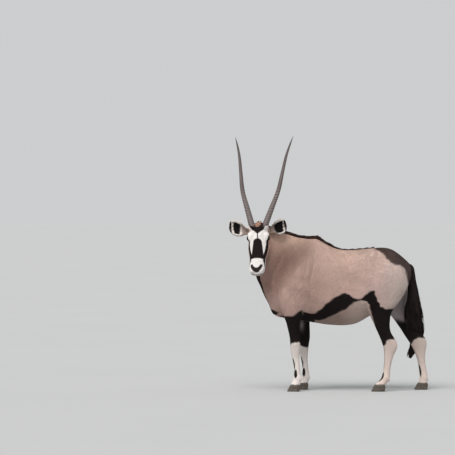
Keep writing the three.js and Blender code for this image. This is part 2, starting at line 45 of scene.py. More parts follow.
# Driving dimensions, in millimetres and degrees
WITHERS_HEIGHT = 1196
HORN_LENGTH = 834
HORN_RADIUS = 27
HEAD_PITCH = 72
HEAD_YAW = 9
HEAD_ROLL = -1
POLL_POINT = np.array([-642.0, -165.0, 1331.0])
FACE_SHIFT = 6.5
EYE_RADIUS = 18
EYE_ALONG = 145
EYE_SIDE = 69
EYE_UP = 21
EAR_LENGTH = 186
TOE_HEIGHT = 48
TOE_SPREAD = 19
STRIDE_BACK = 70
HIND_START = 190
COAT_DEPTH = 2.0
LEG_COAT_DEPTH = 0.8
FACE_COAT_DEPTH = 1.4
NECK_SQUARENESS = 0.92
LEG_SQUARENESS = 0.94
# How much bigger the head is while the skin is joined, how far that reaches, and from which place
HEAD_SCALE = 3.0
HEAD_REACH = 250.0
HEAD_MIDDLE = [0, 0, 215]
# The skin's grid, and the moves that take out its steps, the seams between lofts and the shoulder's crease
BODY_VOXEL = 11.3
STEP_MOVES = [0.55, -0.57] * 5
SEAM_MOVES = [0.5] * 26
CREASE_MOVES = [0.5] * 118
NORMAL_MOVES = [0.6] * 5
SKIN_CUTS = 2
TUFT_SHARE = 1.0
PIECE_TUFTS = 42000
HEAD_TUFTS = 34000
FORELEG_TUFTS = 36000
MANE_LOCKS = 1900
FORELOCK_LOCKS = 220
TAIL_LOCKS = 2300
EAR_LOCKS = 2000
LASHES = 46
# How many waves a soft random field adds up, and the step between the sections of an unwrap
WAVES = 7
UNWRAP_STEP = 12


# Small maths helpers
def in_metres(points):
    """Millimetres of the maker's frame as metres of the shared one."""
    return (np.asarray(points, float) + MODEL_OFFSET) / 1000


def unit(vectors):
    """Each vector made one long."""
    return vectors / np.maximum(np.linalg.norm(vectors, axis=-1, keepdims=True), 1e-9)


def mix(a, b, t):
    """a where t is 0, b where t is 1, and a straight change between."""
    return a + (b - a) * t


def fade(value, low, high):
    """0 below low, 1 above high, and a smooth S between them."""
    t = np.clip((value - low) / (high - low), 0, 1)
    return t * t * (3 - 2 * t)


def soft_edge(depth, soft):
    """0 outside, where the depth is less than 0, and 1 inside, changing over from -soft to soft."""
    return fade(depth, -soft, soft)


def bell(*values):
    """e^-(the sum of the squares): 1 where all values are 0, next to nothing where one is above 2."""
    return np.exp(-sum(value**2 for value in values))


def beyond(points, plane):
    """How far each point lies before a plane, which is given by a place and the direction that it
    faces."""
    place, facing = plane
    return (points - place) @ facing


def flat_to(vectors, normals):
    """The part of each vector that lies in the surface with that normal, made one long."""
    return unit(vectors - np.sum(vectors * normals, -1, keepdims=True) * normals)


def srgb(*channels):
    """A colour as a painter reads it from 0 to 255, as linear light."""
    c = np.asarray(channels, float) / 255
    return np.where(c <= 0.04045, c / 12.92, ((c + 0.055) / 1.055) ** 2.4)


def smooth_rows(rows, step, space):
    """Rows of numbers, made denser by a cubic curve through them: each end has the slope of its
    neighbours, weighed by their distance in the first `space` numbers, and a new row comes at about every
    `step`."""
    rows = np.asarray(rows, float)
    gaps = np.maximum(np.linalg.norm(np.diff(rows[:, :space], axis=0), axis=1), 1e-6)
    rates = np.diff(rows, axis=0) / gaps[:, None]
    share = (gaps[:-1] / (gaps[:-1] + gaps[1:]))[:, None]
    slopes = np.vstack([rates[:1], rates[:-1] * (1 - share) + rates[1:] * share, rates[-1:]])
    counts = np.maximum(1, np.round(gaps / step)).astype(int)
    piece = np.repeat(np.arange(len(gaps)), counts)
    first = np.concatenate([[0], np.cumsum(counts)[:-1]])
    t = ((np.arange(len(piece)) - first[piece]) / counts[piece])[:, None]
    length = gaps[piece][:, None]
    made = (
        rows[piece] * (2 * t**3 - 3 * t**2 + 1)
        + rows[piece + 1] * (3 * t**2 - 2 * t**3)
        + slopes[piece] * length * (t**3 - 2 * t**2 + t)
        + slopes[piece + 1] * length * (t**3 - t**2)
    )
    return np.vstack([made, rows[-1:]])


def section_rings(sections, sides):
    """Each section is its top point, bottom point, half width vector, squareness and egg shape. A ring's
    point is the middle + half the height x up + the half width x out, where up and out are the sine and
    cosine of the turn raised to the squareness, and out shrinks towards the top by the egg share."""
    turn = 2 * np.pi * np.arange(sides) / sides
    sine, cosine = np.sin(turn), np.cos(turn)
    square, egg = sections[:, 9:10], sections[:, 10:11]
    up = np.sign(sine) * np.abs(sine) ** square
    out = np.sign(cosine) * np.abs(cosine) ** square * (1 - egg * up)
    top, bottom, side = sections[:, None, 0:3], sections[:, None, 3:6], sections[:, None, 6:9]
    return (top + bottom) / 2 + (top - bottom) / 2 * up[..., None] + side * out[..., None]


def distance_to_line(points, line):
    """For each point, its distance to a line of joined straight stretches."""
    best = np.full(len(points), 1e9)
    for start, end in zip(line[:-1], line[1:]):
        step = end - start
        t = np.clip((points - start) @ step / max(step @ step, 1e-9), 0, 1)
        best = np.minimum(best, np.linalg.norm(points - start - t[:, None] * step, axis=1))
    return best


def inside_outline(across, up, outline):
    """How far each point lies inside a closed outline, less than 0 outside it: the least distance to a
    side, with the sign from counting how many sides a level line to the right meets."""
    points = np.column_stack([across, up])
    outline = np.vstack([outline, outline[:1]]).astype(float)
    odd = np.zeros(len(points), bool)
    for a, b in zip(outline[:-1], outline[1:]):
        rises = (a[1] > points[:, 1]) != (b[1] > points[:, 1])
        slope = (b[0] - a[0]) / ((b[1] - a[1]) or 1e-9)
        odd ^= rises & (points[:, 0] < a[0] + slope * (points[:, 1] - a[1]))
    away = distance_to_line(points, outline)
    return np.where(odd, away, -away)


def wavy(points, size, seed):
    """A soft random field of about -1 to 1: the sum of a few sine waves in random directions, each about
    `size` long, divided by 3.2."""
    draw = np.random.default_rng(seed)
    total = np.zeros(len(points))
    for _ in range(WAVES):
        way = draw.normal(size=3)
        way *= 2 * np.pi / (size * draw.uniform(0.7, 1.6) * np.linalg.norm(way))
        total += np.sin(points @ way + draw.uniform(0, 6.28))
    return total / 3.2


# Meshes
def closed_tube(rings):
    """Points, four-sided faces and end faces of a closed surface through rings, with a pole at each
    end."""
    count, sides = rings.shape[:2]
    points = np.vstack([rings.reshape(-1, 3), rings[:1].mean(1), rings[-1:].mean(1)])
    i, j = np.meshgrid(np.arange(count - 1), np.arange(sides), indexing="ij")
    a, b = i * sides + j, i * sides + (j + 1) % sides
    walls = np.stack([a, b, b + sides, a + sides], -1).reshape(-1, 4)
    j = np.arange(sides)
    after = (j + 1) % sides
    first, last = np.full(sides, count * sides), np.full(sides, count * sides + 1)
    edge = (count - 1) * sides
    ends = np.vstack([np.column_stack([first, after, j]), np.column_stack([last, edge + j, edge + after])])
    return points, walls, ends


def closed_tubes(ring_sets):
    """The points, four-sided faces and end faces of several closed tubes in one mesh."""
    points, walls, ends, count = [], [], [], 0
    for rings in ring_sets:
        places, quads, caps = closed_tube(rings)
        points.append(places)
        walls.append(quads + count)
        ends.append(caps + count)
        count += len(places)
    return np.vstack(points), np.vstack(walls), np.vstack(ends)


def volume(points, faces):
    """Six times the signed volume under the faces: the sum of the box products of their first three
    corners."""
    a, b, c = (points[faces[:, k]] for k in range(3))
    total = np.einsum("ij,ij->", a, np.cross(b, c))
    if faces.shape[1] == 4:
        total += np.einsum("ij,ij->", a, np.cross(c, points[faces[:, 3]]))
    return total


def outwards(points, face_sets):
    """The same faces, all turned round if together they hold a volume less than 0."""
    if sum(volume(points, faces) for faces in face_sets) < 0:
        return [faces[:, ::-1] for faces in face_sets]
    return face_sets


def bare_mesh(name, points, face_sets):
    """A smooth mesh from points in metres and arrays of faces, each array with faces of one size."""
    mesh = bpy.data.meshes.new(name)
    mesh.vertices.add(len(points))
    mesh.vertices.foreach_set("co", np.asarray(points, np.float32).ravel())
    corners = np.concatenate([faces.ravel() for faces in face_sets]).astype(np.int32)
    sizes = np.concatenate([np.full(len(faces), faces.shape[1]) for faces in face_sets])
    mesh.loops.add(len(corners))
    mesh.loops.foreach_set("vertex_index", corners)
    mesh.polygons.add(len(sizes))
    mesh.polygons.foreach_set("loop_start", np.concatenate([[0], np.cumsum(sizes)[:-1]]).astype(np.int32))
    mesh.polygons.foreach_set("use_smooth", np.ones(len(sizes), bool))
    mesh.update(calc_edges=True)
    return mesh


def carry(mesh, name, values):
    """Keeps a number or a colour at every point of the mesh for its finish to read."""
    values = np.asarray(values, float)
    if values.ndim == 1:
        mesh.attributes.new(name, "FLOAT", "POINT").data.foreach_set("value", values.astype(np.float32))
        return
    colours = np.ones((len(values), 4), np.float32)
    colours[:, :3] = values
    mesh.attributes.new(name, "FLOAT_COLOR", "POINT").data.foreach_set("color", colours.ravel())


def add_piece(name, points, face_sets, finish, stands_for=(), carried=(), patch=None):
    """An object at the origin from points in millimetres, which rides on the body. `patch` is a place on
    the unwrap for each point, kept as the UV map named OFBake."""
    mesh = bare_mesh(name, in_metres(points), outwards(points, face_sets))
    for key, values in dict(carried).items():
        carry(mesh, key, values)
    if patch is not None:
        corner = np.empty(len(mesh.loops), np.int32)
        mesh.loops.foreach_get("vertex_index", corner)
        mesh.uv_layers.new(name="OFBake").data.foreach_set("uv", patch[corner].astype(np.float32).ravel())
    piece = bpy.data.objects.new(name, mesh)
    bpy.context.scene.collection.objects.link(piece)
    mesh.materials.append(finish)
    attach(piece, "root")
    if stands_for:
        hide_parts(*stands_for)


# The head's own frame: side to the animal's left, up out of the forehead, along the face to the nose
def turn_about(axis, degrees):
    """The matrix of a turn about one of the three axes."""
    c, s = math.cos(math.radians(degrees)), math.sin(math.radians(degrees))
    i, j = [(1, 2), (2, 0), (0, 1)][axis]
    turned = np.eye(3)
    turned[i, i], turned[i, j], turned[j, i], turned[j, j] = c, -s, s, c
    return turned


PITCH = math.radians(HEAD_PITCH)
HEAD_AXES = turn_about(2, -HEAD_YAW) @ turn_about(1, HEAD_ROLL) @ np.array([
    [1, 0, 0],
    [0, -math.sin(PITCH), -math.cos(PITCH)],
    [0, math.cos(PITCH), -math.sin(PITCH)],
])


def face_shift(along):
    """The middle of the face stands a little to the animal's left of the line from the poll to the
    nose."""
    return FACE_SHIFT * fade(along, 40, 100) * fade(400 - along, 0, 150)


def from_head(places):
    """Places in the head's frame, led to the maker's frame."""
    places = np.array(places, float)
    places[..., 0] += face_shift(places[..., 2])
    return places @ HEAD_AXES.T + POLL_POINT


def to_head(points):
    """Points in the maker's frame, led to the head's frame."""
    places = (points - POLL_POINT) @ HEAD_AXES
    places[..., 0] -= face_shift(places[..., 2])
    return places


def on_left(local):
    """Places in the head's frame, with those of the animal's right half mirrored to its left half."""
    return np.abs(local) * [1, 0, 0] + local * [0, 1, 1]


# Torso: where it is along the body, its top, its bottom, its half width, its egg shape, its squareness
TORSO_ROWS = np.array([
    [-552, 780, 655, 42, 0, 1], [-538, 860, 612, 82, 0, 1], [-495, 970, 580, 124, 0.05, 0.95],
    [-430, 1065, 567, 154, 0.15, 0.92], [-360, 1140, 556, 174, 0.24, 0.9],
    [-280, 1180, 545, 188, 0.31, 0.88],
    [-195, WITHERS_HEIGHT, 531, 199, 0.35, 0.88], [-110, 1154, 518, 211, 0.28, 0.88],
    [-40, 1120, 512, 221, 0.2, 0.88], [40, 1106, 511, 229, 0.14, 0.88], [120, 1108, 524, 229, 0.1, 0.88],
    [196, 1115, 562, 221, 0.08, 0.9], [265, 1121, 606, 208, 0.06, 0.92], [340, 1127, 648, 200, 0.08, 0.93],
    [400, 1115, 690, 190, 0.1, 0.95], [460, 1078, 735, 168, 0.1, 1], [512, 1034, 785, 132, 0.05, 1],
    [546, 1002, 838, 88, 0, 1], [562, 970, 885, 42, 0, 1],
])
# Neck: its crest, its throat, its heading in degrees from forwards to the animal's left, half width, egg
# shape
NECK_ROWS = np.array([
    [-165, 0, 1120, -430, 0, 600, 0, 118, 0.1], [-250, 0, 1192, -530, 0, 642, 0, 146, 0.15],
    [-330, -6, 1206, -583, -6, 716, 5, 138, 0.2], [-405, -20, 1229, -612, -25, 790, 14, 124, 0.2],
    [-475, -44, 1249, -630, -52, 862, 26, 111, 0.18], [-545, -82, 1272, -640, -84, 940, 40, 99, 0.15],
    [-600, -124, 1296, -646, -108, 1020, 52, 87, 0.1], [-632, -158, 1312, -648, -126, 1085, 60, 74, 0],
    [-644, -172, 1292, -648, -150, 1140, 60, 48, 0],
])
# Legs: height, front, back, middle across, half width
FORE_ROWS = np.array([
    [1100, -292, -205, 70, 40], [1010, -365, -178, 92, 74], [900, -440, -172, 110, 89],
    [800, -492, -190, 121, 90], [720, -503, -222, 125, 85], [655, -480, -262, 126, 75],
    [605, -455, -292, 124, 65], [545, -427, -316, 122, 55], [480, -410, -319, 120, 46],
    [425, -398, -315, 118, 39], [385, -394, -312, 117, 38], [345, -392, -312, 117, 37],
    [306, -388, -316, 117, 32], [265, -379, -320, 117, 26], [225, -370, -319, 117, 24],
    [180, -363, -315, 117, 24], [140, -362, -310, 117, 27], [104, -368, -304, 117, 31],
    [76, -379, -309, 117, 32], [TOE_HEIGHT, -390, -316, 117, 34],
])
HIND_ROWS = np.array([
    [1092, 330, 415, 80, 45], [1025, 268, 478, 104, 84], [940, 230, 520, 118, 99],
    [850, 210, 535, 122, 101], [793, 200, 520, 124, 98], [730, 194, 483, 126, 92],
    [675, 200, 443, 127, 84], [628, 214, 405, 127, 74], [589, 232, 391, 126, 66],
    [548, 252, 387, 125, 58], [502, 272, 387, 124, 49], [460, 291, 396, 122, 41],
    [420, 308, 420, 120, 36], [388, 321, 440, 119, 34], [350, 333, 446, 118, 33],
    [320, 339, 436, 118, 31], [287, 342, 420, 118, 28], [245, 341, 405, 118, 26],
    [204, 338, 396, 118, 25], [165, 333, 390, 118, 26], [128, 326, 388, 118, 29],
    [98, 314, 386, 118, 32], [72, 290, 369, 118, 32], [TOE_HEIGHT, 268, 350, 118, 34],
])
STRETCHED_HIND_ROWS = np.array([
    [1092, 330, 415, 80, 45], [1025, 272, 480, 104, 84], [940, 240, 524, 118, 99],
    [850, 226, 543, 122, 101], [793, 228, 546, 124, 98], [730, 250, 546, 126, 91],
    [675, 292, 546, 127, 82], [628, 348, 547, 127, 72], [600, 390, 549, 126, 66],
    [557, 427, 557, 125, 57], [512, 459, 576, 124, 47], [475, 485, 603, 122, 40],
    [442, 505, 640, 120, 36], [414, 523, 673, 119, 34], [384, 544, 687, 118, 34],
    [350, 566, 689, 118, 32], [320, 581, 684, 118, 30], [287, 595, 679, 118, 28],
    [245, 611, 677, 118, 26], [204, 620, 680, 118, 25], [165, 627, 686, 118, 26],
    [128, 632, 694, 118, 29], [98, 634, 699, 118, 32], [72, 628, 698, 118, 32],
    [TOE_HEIGHT, 618, 697, 118, 34],
])


def stride_at(height):
    """How far the right foreleg stands behind the left one at a height."""
    return STRIDE_BACK * fade(820 - height, 0, 300)


RIGHT_FORE_ROWS = FORE_ROWS + np.outer(stride_at(FORE_ROWS[:, 0]), [0, 1, 1, 0, 0])
# The legs' rows and the side that they stand on, -1 for the animal's left
LEGS = {
    "foreleg_left": (FORE_ROWS, -1),
    "foreleg_right": (RIGHT_FORE_ROWS, 1),
    "hindleg_left": (HIND_ROWS, -1),
    "hindleg_right": (STRETCHED_HIND_ROWS, 1),
}
# Head: how far along the face, its upper and lower line, its half width, its squareness and egg shape
HEAD_ROWS = np.array([
    [14, 6, -44, 32, 1, 0], [28, 38, -74, 57, 0.95, 0], [52, 61, -92, 70, 0.92, 0],
    [85, 72, -98, 76, 0.9, 0.02], [122, 70, -102, 80, 0.88, 0.05], [155, 64, -104, 81, 0.88, 0.06],
    [198, 57, -98, 81, 0.88, 0.06], [248, 51, -84, 76, 0.86, 0.08], [298, 46, -66, 67, 0.84, 0.08],
    [340, 43, -56, 62, 0.82, 0.05], [376, 40, -51, 60, 0.8, 0.02], [404, 30, -48, 58, 0.84, -0.02],
    [424, 14, -42, 47, 0.9, 0], [436, -4, -32, 28, 1, 0],
])
# Lumps on the head: side, up, along, and their three half sizes
HEAD_LUMPS = [
    [52, -42, 160, 28, 54, 66],  # cheek
    [53, 22, 130, 31, 32, 50],  # brow
    [66, 20, 146, 23, 23, 29],  # lids
    [33, 11, 394, 23, 26, 33],  # wing of the nostril
    [42, 42, 60, 32, 30, 34],  # root of the horn
    [56, -26, 62, 30, 34, 38],  # root of the ear
]
# The chin's ball with its three half sizes, and the half sizes of a dew claw
CHIN = [0, -34, 408, 36, 21, 28]
DEW_CLAW = [8, 8, 13]
SHOULDER_CREASE = np.array([[-262, 1120], [-290, 1083], [-380, 930], [-494, 753], [-510, 700]], float)
NECK_PLANE = (np.array([-250.0, 0, 1211]), unit(np.array([-552.0, 0, 300])))
HEAD_PLANE = (np.array([-612.0, -110, 1180]), unit(np.array([-0.53, -0.79, 0.31])))


def torso_sections():
    """The torso's rows as sections for section_rings."""
    x, top, bottom, half, egg, square = TORSO_ROWS.T
    none = 0 * x
    return np.column_stack([x, none, top, x, none, bottom, none, half, none, square, egg])


def neck_sections():
    """The neck's rows as sections, each with its half width square to its heading."""
    heading, half, egg = np.radians(NECK_ROWS[:, 6]), NECK_ROWS[:, 7], NECK_ROWS[:, 8]
    side = np.column_stack([half * np.sin(heading), -half * np.cos(heading), 0 * half])
    return np.column_stack([NECK_ROWS[:, :6], side, np.full(len(egg), NECK_SQUARENESS), egg])


def leg_sections(rows, hand):
    """A leg's rows as level sections, from its front to its back."""
    height, front, back, middle, half = rows.T
    none = 0 * height
    return np.column_stack([
        front, hand * middle, height, back, hand * middle, height, none, hand * half, none,
        none + LEG_SQUARENESS, none,
    ])


def head_sections():
    """The head's rows as sections in the head's own frame."""
    along, upper, lower, half, square, egg = HEAD_ROWS.T
    none = 0 * along
    return np.column_stack([none, upper, along, none, lower, along, half, none, none, square, egg])


def lump_rings(place, radii, sides):
    """A ball stretched by its three half sizes: latitude rings of a sphere."""
    up = np.linspace(-0.995, 0.995, sides // 2)
    turn = 2 * np.pi * np.arange(sides) / sides
    level = np.sqrt(1 - up**2)[:, None]
    ball = np.stack([level * np.cos(turn), level * np.sin(turn), up[:, None] + 0 * turn], -1)
    return ball * radii + place


def flesh_rings():
    """The lofts and lumps that together are the flesh, before they are joined into one skin."""
    made = [
        section_rings(smooth_rows(torso_sections(), 14, 9), 56),
        section_rings(smooth_rows(neck_sections(), 14, 9), 48),
    ]
    for rows, hand in LEGS.values():
        made.append(section_rings(smooth_rows(leg_sections(rows, hand), 12, 9), 32))
        height, _, back, middle = rows[-3][:4]
        for side in (-1, 1):
            place = [back - 3, hand * middle + side * 15, height - 8]
            made.append(lump_rings(place, DEW_CLAW, 16))
    made.append(from_head(section_rings(smooth_rows(head_sections(), 8, 9), 48)))
    for hand in (-1, 1):
        for side, up, along, *radii in HEAD_LUMPS:
            made.append(from_head(lump_rings([hand * side, up, along], radii, 32)))
    made.append(from_head(lump_rings(CHIN[:3], CHIN[3:], 32)))
    for hand in (-1, 1):
        round_horn = 2 * np.pi * np.arange(32) / 32
        t, turn = np.meshgrid(np.linspace(-0.06, HORN_SLEEVE, 14), round_horn, indexing="ij")
        made.append(horn_place(hand, t, turn, SLEEVE_DEPTH))
    return made


def stretched(points, way):
    """Makes the head bigger before the skin is joined, so that one size of grid is finer there, or makes
    it small again where the way is -1: a distance r from the middle of the head becomes r + (scale - 1) x
    reach x tanh(r / reach)."""
    middle = from_head(HEAD_MIDDLE)
    table = np.linspace(0, 4000, 8001)
    grown = table + (HEAD_SCALE - 1) * HEAD_REACH * np.tanh(table / HEAD_REACH)
    away = points - middle
    distance = np.linalg.norm(away, axis=1, keepdims=True)
    wanted = np.interp(distance, table, grown) if way > 0 else np.interp(distance, grown, table)
    return middle + away * wanted / np.maximum(distance, 1e-9)


def joined_skin():
    """One closed skin round all the flesh, as points and four-sided faces: its lofts and lumps on a fine
    grid."""
    points, walls, ends = closed_tubes(flesh_rings())
    mesh = bare_mesh("flesh", stretched(points, 1) / 1000, [walls, ends])
    flesh = bpy.data.objects.new("flesh", mesh)
    bpy.context.scene.collection.objects.link(flesh)
    grid = flesh.modifiers.new("grid", "REMESH")
    grid.mode, grid.voxel_size, grid.adaptivity = "VOXEL", BODY_VOXEL / 1000, 0.0
    made = flesh.evaluated_get(bpy.context.evaluated_depsgraph_get()).to_mesh()
    places = np.empty(len(made.vertices) * 3, np.float32)
    made.vertices.foreach_get("co", places)
    corners = np.empty(len(made.loops), np.int32)
    made.loops.foreach_get("vertex_index", corners)
    if len(made.loops) != 4 * len(made.polygons):
        raise RuntimeError("the joined skin has faces that aren't four-sided")
    bpy.data.objects.remove(flesh)
    return stretched(places.reshape(-1, 3).astype(float) * 1000, -1), corners.reshape(-1, 4)


def edges_of(faces):
    """Every edge once, as its two point numbers."""
    pairs = np.stack([faces, np.roll(faces, -1, 1)], -1).reshape(-1, 2)
    return np.unique(np.sort(pairs, 1), axis=0)


def smoothed(points, edges, share, moves):
    """In each move, every point goes towards the middle of its neighbours by the move x its share. A move
    in and one back out take away steps and keep the size, and moves in alone round out the creases
    between lofts."""
    a, b = edges.T
    count = np.bincount(edges.ravel(), minlength=len(points))[:, None]
    for move in moves:
        total = np.column_stack([
            np.bincount(a, points[b, i], len(points)) + np.bincount(b, points[a, i], len(points))
            for i in range(3)
        ])
        points = points + (total / count - points) * share[:, None] * move
    return points


def eased(points, edges, share, moves):
    """The same, worked out only where the share is above 0."""
    near = (share > 0)[edges].any(1)
    used, places = np.unique(edges[near], return_inverse=True)
    made = points.copy()
    made[used] = smoothed(points[used], places.reshape(-1, 2), share[used], moves)
    return made


def normals_of(points, faces):
    """The direction out of each point: the sum of its faces' area vectors, made one long. That of a
    four-sided face is the cross product of its diagonals, and that of a triangle is the one of two of its
    sides."""
    corners = [points[faces[:, k]] for k in range(faces.shape[1])]
    if len(corners) == 4:
        area = np.cross(corners[2] - corners[0], corners[3] - corners[1])
    else:
        area = np.cross(corners[1] - corners[0], corners[2] - corners[0])
    total = np.zeros_like(points)
    for k in range(3):
        weights = np.tile(area[:, k, None], (1, faces.shape[1])).ravel()
        total[:, k] = np.bincount(faces.ravel(), weights, len(points))
    return unit(total)


# Where a point is: in a leg it is led back to the same place on the standing left leg
def on_rows(height, rows, column):
    """One number of the rows at a height."""
    order = np.argsort(rows[:, 0])
    return np.interp(height, rows[order, 0], rows[order, column])


def standing(points):
    """Side view places, with both right legs led back to the left legs' stance by their share of the way
    from the front of the leg to its back."""
    x, z = points[:, 0].copy(), points[:, 2]
    right = points[:, 1] > 0
    fore = right & (x < -60)
    x[fore] -= stride_at(z[fore])
    hind = right & (x > HIND_START) & (z < 1000)
    z_hind, x_hind = z[hind], x[hind]
    front, back = on_rows(z_hind, STRETCHED_HIND_ROWS, 1), on_rows(z_hind, STRETCHED_HIND_ROWS, 2)
    to_front, to_back = on_rows(z_hind, HIND_ROWS, 1), on_rows(z_hind, HIND_ROWS, 2)
    inside = to_front + (x_hind - front) / (back - front) * (to_back - to_front)
    part = np.maximum(to_front - HIND_START, 1) / np.maximum(front - HIND_START, 1)
    before = HIND_START + (x_hind - HIND_START) * part
    share = fade(1000 - z_hind, 0, 120)
    x[hind] = mix(x_hind, np.where(x_hind > front, inside, before), share)
    return x, z


def head_share(points):
    """1 on the head, 0 behind the plane where the neck joins it."""
    return soft_edge(beyond(points, HEAD_PLANE), 14) * (to_head(points)[:, 2] > -40)


def leg_share(points):
    """1 on the lower legs, 0 on the trunk, changing over from the elbow and the stifle downwards."""
    x, z = standing(points)
    beside = fade(np.abs(points[:, 1]), 30, 60)
    return beside * np.where(x < 0, fade(640 - z, 0, 120), fade(700 - z, 0, 140))


# Muscles and bones under the skin: side view place, half sizes, tilt in degrees, height
TRUNK_FORMS = [
    [-352, 985, 44, 130, -14, 6],  # shoulder blade
    [-262, 960, 26, 120, -8, -4],  # hollow behind it
    [-462, 800, 50, 55, 0, 8],  # point of the shoulder
    [-345, 770, 62, 80, 18, 8],  # upper arm
    [-222, 760, 34, 120, 0, -7],  # behind the elbow
    [-296, 655, 24, 28, 0, 6],  # elbow
    [-30, 850, 190, 150, 0, 5],  # ribs
    [218, 985, 52, 52, 20, -11],  # hollow of the flank
    [266, 1078, 30, 20, 30, 9],  # hip bone
    [196, 700, 30, 60, -30, 4],  # fold of the flank
    [292, 870, 52, 130, -8, 7],  # front of the thigh
    [425, 850, 52, 120, 8, 5],  # back of the thigh
    [372, 830, 26, 150, 6, -2.2],  # groove between them
    [528, 985, 22, 22, 0, 5],  # seat bone
    [226, 690, 32, 36, 0, 6],  # stifle
    [382, 512, 16, 60, 14, -7],  # hollow before the hamstring's cord
    [-352, 366, 30, 20, 0, 3],  # knee
    [-345, 225, 6, 70, 0, -2.2],  # cord behind the fore cannon
    [372, 225, 6, 70, 0, -2.2],  # cord behind the hind cannon
    [-345, 110, 26, 16, 0, 2],  # fore fetlock
    [350, 112, 26, 16, 0, 2],  # hind fetlock
]
# Forms on the head: side, up, along, half sizes, height
HEAD_FORMS = [
    [66, 34, 118, 24, 18, 22, 4.5],  # ridge of the brow
    [70, 6, 185, 20, 14, 26, -4],  # hollow under the eye
    [66, -12, 225, 22, 12, 66, 4],  # cheekbone
    [74, -40, 215, 24, 22, 40, 3],  # jaw muscle
    [62, -30, 300, 20, 18, 40, -4],  # hollow of the cheek
    [26, 62, 250, 12, 20, 90, 3],  # nose bone
    [50, 40, 300, 12, 20, 60, -2.5],  # beside it
    [76, 44, 92, 16, 16, 20, -4],  # temple
    [42, 4, 372, 20, 18, 20, 3],  # upper lip
    [0, -44, 330, 16, 16, 60, -3],  # between the jaws
]
NECK_FOLD = np.array([
    [-470, 1100], [-483, 1068], [-515, 1005], [-544, 950], [-562, 880], [-571, 812],
], float)
THROAT_RISE = 13
FOLD_DEPTH = 4.5
FOREARM_RISE = 16
UNEVEN_RISE = 0.8
RIB_RISE = 0.2
RIB_SPACING = 52


def shaped(points, normals, local, face):
    """How far each point moves out for its muscles and bones: each form adds its height x e^-(distance
    squared), with the distance counted in its half sizes."""
    x, z = standing(points)
    side = np.abs(normals[:, 1]) ** 0.7
    rise = np.zeros(len(points))
    for at_x, at_z, half_x, half_z, tilt, height in TRUNK_FORMS:
        c, s = math.cos(math.radians(tilt)), math.sin(math.radians(tilt))
        u = ((x - at_x) * c + (z - at_z) * s) / half_x
        v = (-(x - at_x) * s + (z - at_z) * c) / half_z
        rise += height * bell(u, v) * side
    rise *= 1 - 0.6 * soft_edge(beyond(points, NECK_PLANE), 60)
    rise += THROAT_RISE * bell(distance_to_line(points, THROAT_LINE) / 62) * fade(z, 800, 900)
    fold = bell(distance_to_line(points[:, [0, 2]], NECK_FOLD) / 20)
    rise -= FOLD_DEPTH * fold * fade(-points[:, 1], 20, 80) * fade(-x, 440, 500)
    far_forearm = (points[:, 1] > 0) * (x < -150) * bell((z - 480) / 130)
    rise += FOREARM_RISE * far_forearm * np.maximum(0, normals[:, 0]) * fade(z, 330, 420)
    rise += (1 - leg_share(points)) * UNEVEN_RISE * wavy(points, 190, 3)
    ribs = bell((x + 20) / 150, (z - 850) / 140)
    rise += RIB_RISE * ribs * np.sin((x + 0.25 * (z - 850)) * 2 * np.pi / RIB_SPACING) * side
    out = np.zeros(len(points))
    for side_at, up_at, along_at, half_a, half_b, half_c, height in HEAD_FORMS:
        u = (np.abs(local[:, 0]) - side_at) / half_a
        v = (local[:, 1] - up_at) / half_b
        w = (local[:, 2] - along_at) / half_c
        out += height * bell(u, v, w)
    return rise * (1 - face) + out * face


# Openings of the face, in the head's frame of the animal's left half
EYE_MIDDLE = np.array([EYE_SIDE, EYE_UP, EYE_ALONG], float)
EYE_HALF_LONG = 15.5
EYE_HALF_HIGH = 8.6
EYE_TILT = math.radians(-16)
ALMOND_POWER = 1.7
LID_RADIUS = EYE_RADIUS + 1.2
NOSTRIL = np.array([[21, 37, 392], [28, 35, 386], [36, 27, 384], [42, 16, 389], [41, 9, 397]], float)
MOUTH = np.array([[340, -27], [376, -22], [408, -14], [440, -4]], float)
MOUTH_END = 338
MOUTH_MIDDLE = np.array([0, -24, 330.0])
NOSTRIL_DEPTH = 10
MOUTH_DEPTH = 5.0


def eye_place(local):
    """Where a point of the head is on the eye's own almond, 1 at the edge of the lids and less inside,
    and how far it is from the middle of the eye."""
    across = local[:, 2] - EYE_ALONG
    up = local[:, 1] - EYE_UP
    u = across * math.cos(EYE_TILT) + up * math.sin(EYE_TILT)
    v = -across * math.sin(EYE_TILT) + up * math.cos(EYE_TILT)
    u, v = u / EYE_HALF_LONG, v / EYE_HALF_HIGH
    return np.sqrt(u**2 + np.abs(v) ** ALMOND_POWER), np.hypot(across, up)


def lid_line(turn, grow):
    """Places on the lids' ball round the middle of the eye: the edge of the almond, grown, at each turn,
    as out, up and along the face."""
    u = grow * np.cos(turn) * EYE_HALF_LONG
    v = np.sign(np.sin(turn)) * (grow**2 * np.sin(turn) ** 2) ** (1 / ALMOND_POWER) * EYE_HALF_HIGH
    along = u * math.cos(EYE_TILT) - v * math.sin(EYE_TILT)
    up = u * math.sin(EYE_TILT) + v * math.cos(EYE_TILT)
    return np.column_stack([np.sqrt(LID_RADIUS**2 - along**2 - up**2), up, along])


def mouth_gap(local):
    """How far a point of the face lies above the line of the mouth, and how far from that line in all.
    The line is given by its height at each place along the face."""
    above = local[:, 1] - np.interp(local[:, 2], *MOUTH.T)
    return above, np.hypot(above, np.maximum(0, MOUTH_END - local[:, 2]))


